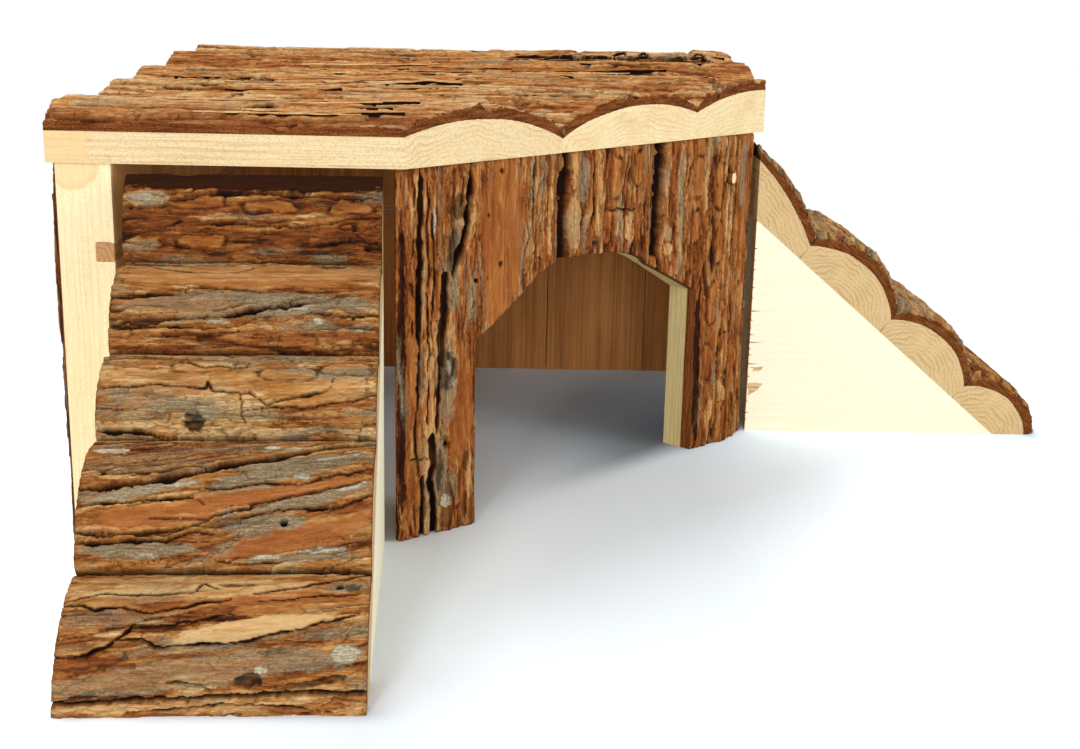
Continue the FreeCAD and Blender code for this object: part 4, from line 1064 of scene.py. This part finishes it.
def ramp_slabs(name, row, at, turn, top, seed, marks, styles):
    out, across = ramp_axes(turn)
    down = out * (RAMP_BASE / SLOPE) - UP * (RAMP_HIGH / SLOPE)
    off = out * (RAMP_HIGH / SLOPE) + UP * (RAMP_BASE / SLOPE)

    def section(outwards, up):
        """From outwards and up in the ramp's frame to up the slope and off it, from the toe."""
        away = outwards - RAMP_BASE
        return (up * RAMP_HIGH - away * RAMP_BASE) / SLOPE, (away * RAMP_HIGH + up * RAMP_BASE) / SLOPE

    gone = 0.0
    for i, (wide, rise) in enumerate(row, 1):
        wide = SLOPE - gone if wide is None else wide
        upper = [(SLOPE - gone, RAMP_EDGE), (SLOPE - gone, 0)]
        lower = [(SLOPE - gone - wide, 0), (SLOPE - gone - wide, RAMP_EDGE)]
        if i == 1:
            upper = [section(0, top), section(0, RAMP_HIGH)]
        if i == len(row):
            lower = [section(RAMP_BASE, 0), section(RAMP_LONG, 0)]
        own = {"gap": (0.05 if i == len(row) else 0.9, 0.05 if i == 1 else 0.9), **styles.get(i, {})}
        half_round(f"{name}_slab_{i}", name, at + out * RAMP_BASE, (across, -down, off), lower + upper, rise,
                   RAMP_WIDE, seed + 31 * i, {**RAMP_STYLE, **own},
                   ("wood_end", "bark_scaly" if "cross" in own else "bark", "bark_cut"), marks.get(i, ()),
                   fine=(0.5, 0.4))
        gone += wide


FRONT_RAMP_AT, FRONT_RAMP_TURN = Vector((WALL + 4.9, 0.5, 0)), math.radians(2.4 - 90)
RIGHT_RAMP_AT = Vector((ROOF_WIDE - 1, CUT_DEEP - 2.5, 0))
ramp_slabs("front_ramp", FRONT_RAMP, FRONT_RAMP_AT, FRONT_RAMP_TURN, ROOM_HIGH - 3, 5000, FRONT_RAMP_MARKS,
           FRONT_STYLES)
ramp_slabs("right_ramp", RIGHT_RAMP, RIGHT_RAMP_AT, 0.0, ROOM_HIGH - 7.5, 6000, {}, RIGHT_STYLES)

# ---------------------------------------------------------------- battens and side boards


def rough_bar(node, at, axes, size, seed):
    """A sawn bar with worn edges and a few chips off them: size is along its three directions."""
    long, wide, high = size
    worn, spacing = 0.35, 1.3
    corners = [(0, 0), (wide, 0), (wide, high), (0, high)]
    ring = []
    for (y0, z0), (y1, z1) in zip(corners, corners[1:] + corners[:1]):
        side = math.hypot(y1 - y0, z1 - z0)
        for f in np.linspace(worn / side, 1 - worn / side, int(side / spacing) + 2):
            ring.append((y0 + f * (y1 - y0), z0 + f * (z1 - z0)))
    ring = np.array(ring)
    x = np.concatenate([[0, 0.3], np.linspace(1.5, long - 1.5, int(long / 2)), [long - 0.3, long]])
    k = np.arange(len(ring))[:, None]
    corner = np.minimum(np.abs(ring - (wide, high)), ring).max(axis=1) < 2 * worn
    less = 0.10 * np.abs(noise(x[None] / 4, k * 0.7, seed)) \
        + 0.5 * step(0.30, 0.5, noise(x[None] / 6, k * 0.35, seed + 1)) * corner[:, None]
    less[:, [0, -1]] += 0.3
    middle = np.array((wide, high)) / 2
    shrink = 1 - less[:, :, None] / np.linalg.norm(ring - middle, axis=1)[:, None, None]
    section = middle + (ring - middle)[:, None, :] * shrink
    points = np.concatenate([np.broadcast_to(x[None, :, None], section.shape[:2] + (1,)), section], axis=2)
    points = points.reshape(-1, 3)
    make(f"{node}_rough", points, outwards(points, tube(len(ring), len(x))), ["batten"], 0, False,
         stand(at, axes), "house", node)


BATTEN_HIGH, BATTEN_THICK, PROUD = 6.5, 6.0, 0.15  # PROUD: how far a batten stands out of its groove
rough_bar("left_wall_batten", (WALL - BATTEN_THICK, WALLS_IN - PROUD, 95.25), (TO_BACK, TO_RIGHT, UP),
          (257.5, BATTEN_THICK + PROUD, BATTEN_HIGH), 7100)
rough_bar("back_wall_batten", (WALL, ROOF_DEEP - 1 - WALL - PROUD, 73.75), (TO_RIGHT, TO_BACK, UP),
          (228.5, BATTEN_THICK + PROUD, BATTEN_HIGH), 7200)
rough_bar("front_panel_batten", PANEL_AT - SLANT_DIR * 22 - SLANT_OUT * BATTEN_THICK + UP * 95.75,
          (-SLANT_DIR, SLANT_OUT, UP), (146, BATTEN_THICK, BATTEN_HIGH), 7300)
rough_bar("roof_batten", (220.75, 137.4, 121), (TO_BACK, TO_RIGHT, UP), (101.5, 6.5, 6), 7400)

# cracks in the upright edge of the boards: height and depth
BOARD_CRACKS = [(79, 1.6), (74, 0.8), (70, 1.2), (66, 0.6), (62.5, 1.8), (58, 0.9), (52.4, 5.6), (48.5, 1.4),
                (45, 0.8), (42.2, 2.4), (38.9, 6.0), (36, 1.0), (33.4, 1.6), (29.5, 4.2), (24, 1.2),
                (13, 0.9), (8, 1.5), (5, 0.6)]


def board(node, body, at, axes, seed):
    """A triangular side board: at is its lower corner under the upright edge, with its thickness across."""
    outline = [(0.0, 0.0), (RAMP_BASE, 0.0), (0.3, RAMP_HIGH - 0.2)]
    edge_z = RAMP_HIGH - 1.2
    for crack_z, deep in BOARD_CRACKS:
        for z in np.arange(edge_z, crack_z + 0.6, -0.9):
            outline.append((0.16 * abs(float(noise(np.array(z / 0.8), np.array(0.5), seed))), float(z)))
        long = deep * (0.75 + 0.5 * float(rand2(np.array(int(crack_z * 7)), np.array(1), seed)))
        outline += [(0.1, crack_z + 0.24), (0.45 * long, crack_z + 0.15), (long, crack_z + 0.03),
                    (0.5 * long, crack_z - 0.08), (0.1, crack_z - 0.2)]
        edge_z = crack_z - 0.6
    # plain wood on the two faces and the two sides next to them, torn wood on the upright edge
    slots = [0] * 4 + [1] * (len(outline) - 2)
    prism(f"{node}_sawn", outline, 0.0, RAMP_BOARD, ["board", "board_end"], slots, stand(at, axes), body,
          node)


for name, at, turn, sides in (("front_ramp", FRONT_RAMP_AT, FRONT_RAMP_TURN, ("left", "right")),
                              ("right_ramp", RIGHT_RAMP_AT, 0.0, ("near", "far"))):
    out, across = ramp_axes(turn)
    for k, side in enumerate(sides):
        board(f"{name}_{side}_board", name, at + across * (k * (RAMP_WIDE - RAMP_BOARD)), (out, across, UP),
              7500 + k)

# places on the near board of the right ramp where the saw tore the wood: outline out and up
TEARS = [
    [(0.5, 28.2), (3.2, 28.0), (6.4, 28.4), (5.6, 27.0), (3.6, 25.9), (4.4, 26.9), (1.6, 26.2), (2.6, 27.3)],
    [(0.3, 21.1), (3.4, 21.3), (6.7, 20.9), (5.2, 19.2), (4.6, 18.1), (2.8, 17.0), (0.4, 15.4), (0.9, 17.8),
     (0.2, 18.8)],
]
for k, outline in enumerate(TEARS, 1):
    prism(f"right_ramp_tear_{k}", outline, -0.12, 0.3, ["wood_end"], 0,
          stand(RIGHT_RAMP_AT, (TO_RIGHT, TO_BACK, UP)), "right_ramp", None)

# ---------------------------------------------------------------- splinters on the roof, twig in the panel


def roof_top(y):
    """Height of the roof's clean bark at a distance from its front edge."""
    before, near = ROOF_EDGE, 0.0
    for wide, rise, after in ROOF:
        if y <= near + wide:
            f = (y - near) / wide
            return ROOM_HIGH + before + (after - before) * f + rise * (1 - (2 * f - 1) ** 2)
        before, near = after, near + wide
    return ROOM_HIGH + ROOF[-1][2]


ROOF_Y = np.linspace(0, ROOF_DEEP, 521)
ROOF_Z = np.array([roof_top(y) for y in ROOF_Y])

# strips of bark that have come loose: ends in plan, width, how far off the bark the two ends and the
# middle stand, tone
LOOSE = [
    ((197, 198), (212, 212), 2.4, (1.6, 4.6), 1.8, 0.85),
    ((224, 238), (238, 224), 2.8, (5.0, 2.2), 3.0, 0.85),
    ((132, 214), (156, 219), 6.0, (2.2, 2.6), 2.8, 0.9),
    ((150, 208), (236, 205), 2.6, (2.6, 3.4), 3.2, 0.62),
    ((160, 189), (222, 192), 3.4, (1.8, 2.4), 2.2, 0.72),
    ((166, 226), (240, 228), 4.2, (2.4, 4.2), 3.6, 0.55),
    ((192, 244), (246, 241), 4.0, (2.6, 3.4), 3.4, 0.62),
    ((168, 241), (214, 240), 2.6, (3.0, 3.6), 3.4, 0.8),
    ((120, 160), (171, 129), 1.8, (1.4, 2.6), 1.8, 0.8),
    ((115, 119), (180, 146), 2.4, (1.4, 2.4), 1.9, 0.72),
]
# across a strip: place as a share of half its width, height over its middle, and how dark the row is painted
# as the shadow under the loose strip
STRIP_ROWS = [(-0.9, -1.7, 1.0), (-1.0, -0.28, 1.0), (-1.0, -0.1, 0.0), (-0.3, 0.12, 0.0), (0.4, 0.1, 0.0),
              (1.0, -0.1, 0.0), (0.9, -1.5, 0.9)]


def loose_strips(count, seed):
    """More of them, anywhere on the roof, nearly along the grain."""
    chance = np.random.default_rng(seed)
    found = []
    for _ in range(count):
        y = chance.uniform(6, ROOF_DEEP - 6)
        long = chance.uniform(26, 95)
        x = chance.uniform(3, sawn_short(y) - long - 4) if sawn_short(y) > long + 8 else 3.0
        long = min(long, sawn_short(y) - x - 3)
        far = y + chance.uniform(-0.05, 0.05) * long
        if sawn_short(far) < x + long + 1:
            continue
        rise = chance.uniform(1.0, 2.2)
        found.append(((x, y), (x + long, far), chance.uniform(1.4, 4.6),
                      (rise - 0.5, rise + chance.uniform(-0.5, 0.9)), rise, chance.uniform(0.42, 0.86)))
    return found


def strips_on_roof(name, strips, seed):
    points, faces, shades, count = [], [], [], 0
    for k, (start, end, wide, ends, middle, tone) in enumerate(strips):
        dx, dy = end[0] - start[0], end[1] - start[1]
        long = math.hypot(dx, dy)
        t = np.linspace(0, 1, max(14, int(long / 1.6)))

        def along(size, row, turn=0, here=seed + 7 * k, gone=t * long):
            """Noise along the strip, with features of a size in millimetres."""
            return noise(gone / size, gone * 0 + row, here + turn)

        half = wide / 2 * np.sin(math.pi * np.clip(t, 0.03, 0.97)) ** 0.5 * (0.8 + 0.5 * along(6, 0))
        bend = 0.35 * wide * along(17, 4)
        rise = middle + (ends[0] - middle) * (1 - t) ** 3 + (ends[1] - middle) * t**3 + 0.25 * along(9, 6)
        # the rows at the strip's sides hang under it and are painted black as its shadow
        for v, up, black in STRIP_ROWS:
            side = bend + v * half * (1 + 0.12 * along(2.2, v, 1))
            x = start[0] + t * dx - side * dy / long
            y = start[1] + t * dy + side * dx / long
            z = np.interp(y, ROOF_Y, ROOF_Z) + rise + up + 0.1 * along(2, 2 * v, 2)
            points.append(np.stack([x, y, z], axis=1))
            shades.append(np.stack([tone + 0.15 * along(8, v, 3), 0 * t + black, 0 * t, 0 * t], axis=1))
        faces += [[count + i for i in reversed(face)] for face in tube(len(STRIP_ROWS), len(t))]
        count += len(t) * len(STRIP_ROWS)
    piece = make(name, np.concatenate(points), faces, ["bark_roof"], 0, False,
                 stand((0, 0, 0), (TO_RIGHT, TO_BACK, UP)), "house", None)
    give(piece, "bark", "FLOAT_COLOR", "color", np.concatenate(shades))


strips_on_roof("roof_loose_strips", LOOSE + loose_strips(80, 12), 8000)


def twig(height, across, off):
    """The pale end of a twig that was sawn off level with the bark, in a ring of its own dark bark."""
    turn = np.linspace(0, 2 * math.pi, 29)[:-1]
    uneven = 1 + 0.08 * noise(turn * 2, turn * 0, 8300)
    # half width along and across the grain, and height, from the root to the middle of the sawn end
    rings = [(2.6, 1.8, -2.0), (2.6, 1.8, 0.5), (2.2, 1.45, 0.9), (1.9, 1.2, 0.75), (1.0, 0.6, 1.0),
             (0.1, 0.1, 1.1)]
    x, y = np.cos(turn) * uneven, np.sin(turn) * uneven
    points = np.concatenate([np.stack([a * x, b * y, turn * 0 + c], axis=1) for a, b, c in rings])
    columns = len(turn)
    faces = [[i + j, i + (j + 1) % columns, i + columns + (j + 1) % columns, i + columns + j]
             for i in range(0, columns * (len(rings) - 1), columns) for j in range(columns)]
    faces += [list(range(columns))[::-1], [len(points) - columns + j for j in range(columns)]]
    slots = [1 if k < 2 * columns else 0 for k in range(len(faces) - 2)] + [1, 0]
    make("front_panel_twig", points, outwards(points, faces), ["wood", "bark_cut"], slots, True,
         stand(PANEL_AT - SLANT_DIR * across + SLANT_OUT * off + UP * height, PANEL_AXES), "house", None)


twig(110.2, 23.0, 14.6)

# the brads keep their construction mesh
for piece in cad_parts.values():
    if not piece.hide_render:
        piece.data.materials.clear()
        piece.data.materials.append(MAT["steel"])

# ---------------------------------------------------------------- floor, light, camera

scene = bpy.context.scene
floor_mesh = bpy.data.meshes.new("floor")
floor_mesh.from_pydata([(-6, -6, 0), (6, -6, 0), (6, 6, 0), (-6, 6, 0)], [], [(0, 1, 2, 3)])
floor = bpy.data.objects.new("floor", floor_mesh)
scene.collection.objects.link(floor)
floor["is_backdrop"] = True
# The camera sees a floor with a painted shadow: darker inside the doorway and in a band across, tinted
# cooler further back, and white from some way off. The light that comes back from it is that of a plain grey
# floor.
n = Nodes("floor")
seen = n.add("LightPath", {}, "Is Camera Ray")
plain = n.ramp(n.noise((900, 900, 900), 2, 0.5), (0.3, grey(0.80)), (0.7, grey(0.84)))
x, y, _ = n.parts("SeparateXYZ", {"Vector": n.place((1000, 1000, 1000), MID)})
# a painted band of shade across the floor, white at its two ends
across = n.ramp((x + 100) / 500, (0.20, grey(1.2)), (0.42, grey(0.84)), (0.5, WHITE), (0.64, grey(0.98)),
                (0.78, grey(1.22)))
# painted shadow colour: cooler further back, taking the warmth out of the shade
shadow_tint = n.ramp(y / 280, (0.25, (1, 1.07, 1.13, 1)), (0.43, (1, 1.14, 1.27, 1)), (0.6, (1, 1.24, 1.5, 1)),
              (0.75, (1, 1.3, 1.7, 1)))
# painted shadow inside the house, strongest round its middle and only behind the panel's line
from_x, from_y = (x - 210) / 50, (y - 135) / 95
near = n.math("EXPONENT", (from_x * from_x + from_y * from_y) * -1.0)
behind = y * SLANT_DIR.x - (x - (ROOF_WIDE - CUT_WIDE)) * SLANT_DIR.y
behind = n.ramp((behind + 6) / 20, (0, BLACK), (1, WHITE), smooth=True)
room = 1.0 - near * behind * 0.78
shown = n.mix(1.0, n.mix(1.0, across, shadow_tint, "MULTIPLY"), room, "MULTIPLY")
paint = n.add("BsdfDiffuse", {"Color": n.mix(seen, plain, shown)})
away = n.vector("LENGTH", {0: n.place((1, 1, 1), (-0.05, 0.06, 0))}, "Value")
far = n.ramp(away, (0.24, BLACK), (0.46, WHITE), smooth=True)
white = n.add("Emission", {"Color": WHITE, "Strength": 1.0})
n.add("OutputMaterial", {"Surface": n.add("MixShader", {0: far * seen, 1: paint, 2: white})})
floor_mesh.materials.append(n.material)

WORLD_LIGHT = 0.36
world = scene.world = bpy.data.worlds.new("studio")
world.use_nodes = True
tree = world.node_tree
back = tree.nodes["Background"]
back.inputs["Color"].default_value = WHITE
path, mixed = tree.nodes.new("ShaderNodeLightPath"), tree.nodes.new("ShaderNodeMix")
mixed.data_type = "FLOAT"
mixed.inputs[2].default_value, mixed.inputs[3].default_value = WORLD_LIGHT, 1.0
tree.links.new(path.outputs["Is Camera Ray"], mixed.inputs[0])
tree.links.new(mixed.outputs[0], back.inputs["Strength"])

# place, size, power in watts
LAMPS = {"key": ((-0.6, -1.6, 1.05), 0.55, 11), "front": ((0.0, -1.3, 0.32), 0.5, 4.5),
         "fill": ((1.3, -0.55, 0.45), 0.8, 7.5), "back": ((-0.55, 0.85, 1.5), 1.1, 21)}
LIT = Vector((0, 0, 0.05))
for name, (at, size, energy) in LAMPS.items():
    data = bpy.data.lights.new(name, "AREA")
    data.shape, data.size, data.energy = "DISK", size, energy
    lamp = bpy.data.objects.new(name, data)
    scene.collection.objects.link(lamp)
    lamp.location = at
    lamp.rotation_euler = (LIT - Vector(at)).to_track_quat("-Z", "Y").to_euler()

# the camera fitted to the photograph: focal length in its pixels, place and angles
PHOTO_WIDE, FOCAL, SENSOR = 1080, 1521.9082, 36.0
CAMERA_AT = Vector((145.3245, -482.6338, 188.8073))
PITCH, YAW, ROLL = 0.2595, 0.0248, 0.0227
camera_data = bpy.data.cameras.new("camera")
camera_data.sensor_width, camera_data.lens = SENSOR, FOCAL / PHOTO_WIDE * SENSOR
camera_data.clip_start, camera_data.clip_end = 0.02, 50
camera = bpy.data.objects.new("camera", camera_data)
scene.collection.objects.link(camera)
ahead = Vector((math.sin(YAW) * math.cos(PITCH), math.cos(YAW) * math.cos(PITCH), -math.sin(PITCH)))
level = Vector((math.cos(YAW), -math.sin(YAW), 0))
upright = level.cross(ahead)
side = level * math.cos(ROLL) + upright * math.sin(ROLL)
top = upright * math.cos(ROLL) - level * math.sin(ROLL)
camera.matrix_world = Matrix.Translation(CAMERA_AT / 1000 - MID / 1000) @ \
    Matrix((side, top, -ahead)).transposed().to_4x4()
scene.camera = camera
scene.view_settings.view_transform = "Standard"

low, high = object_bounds()
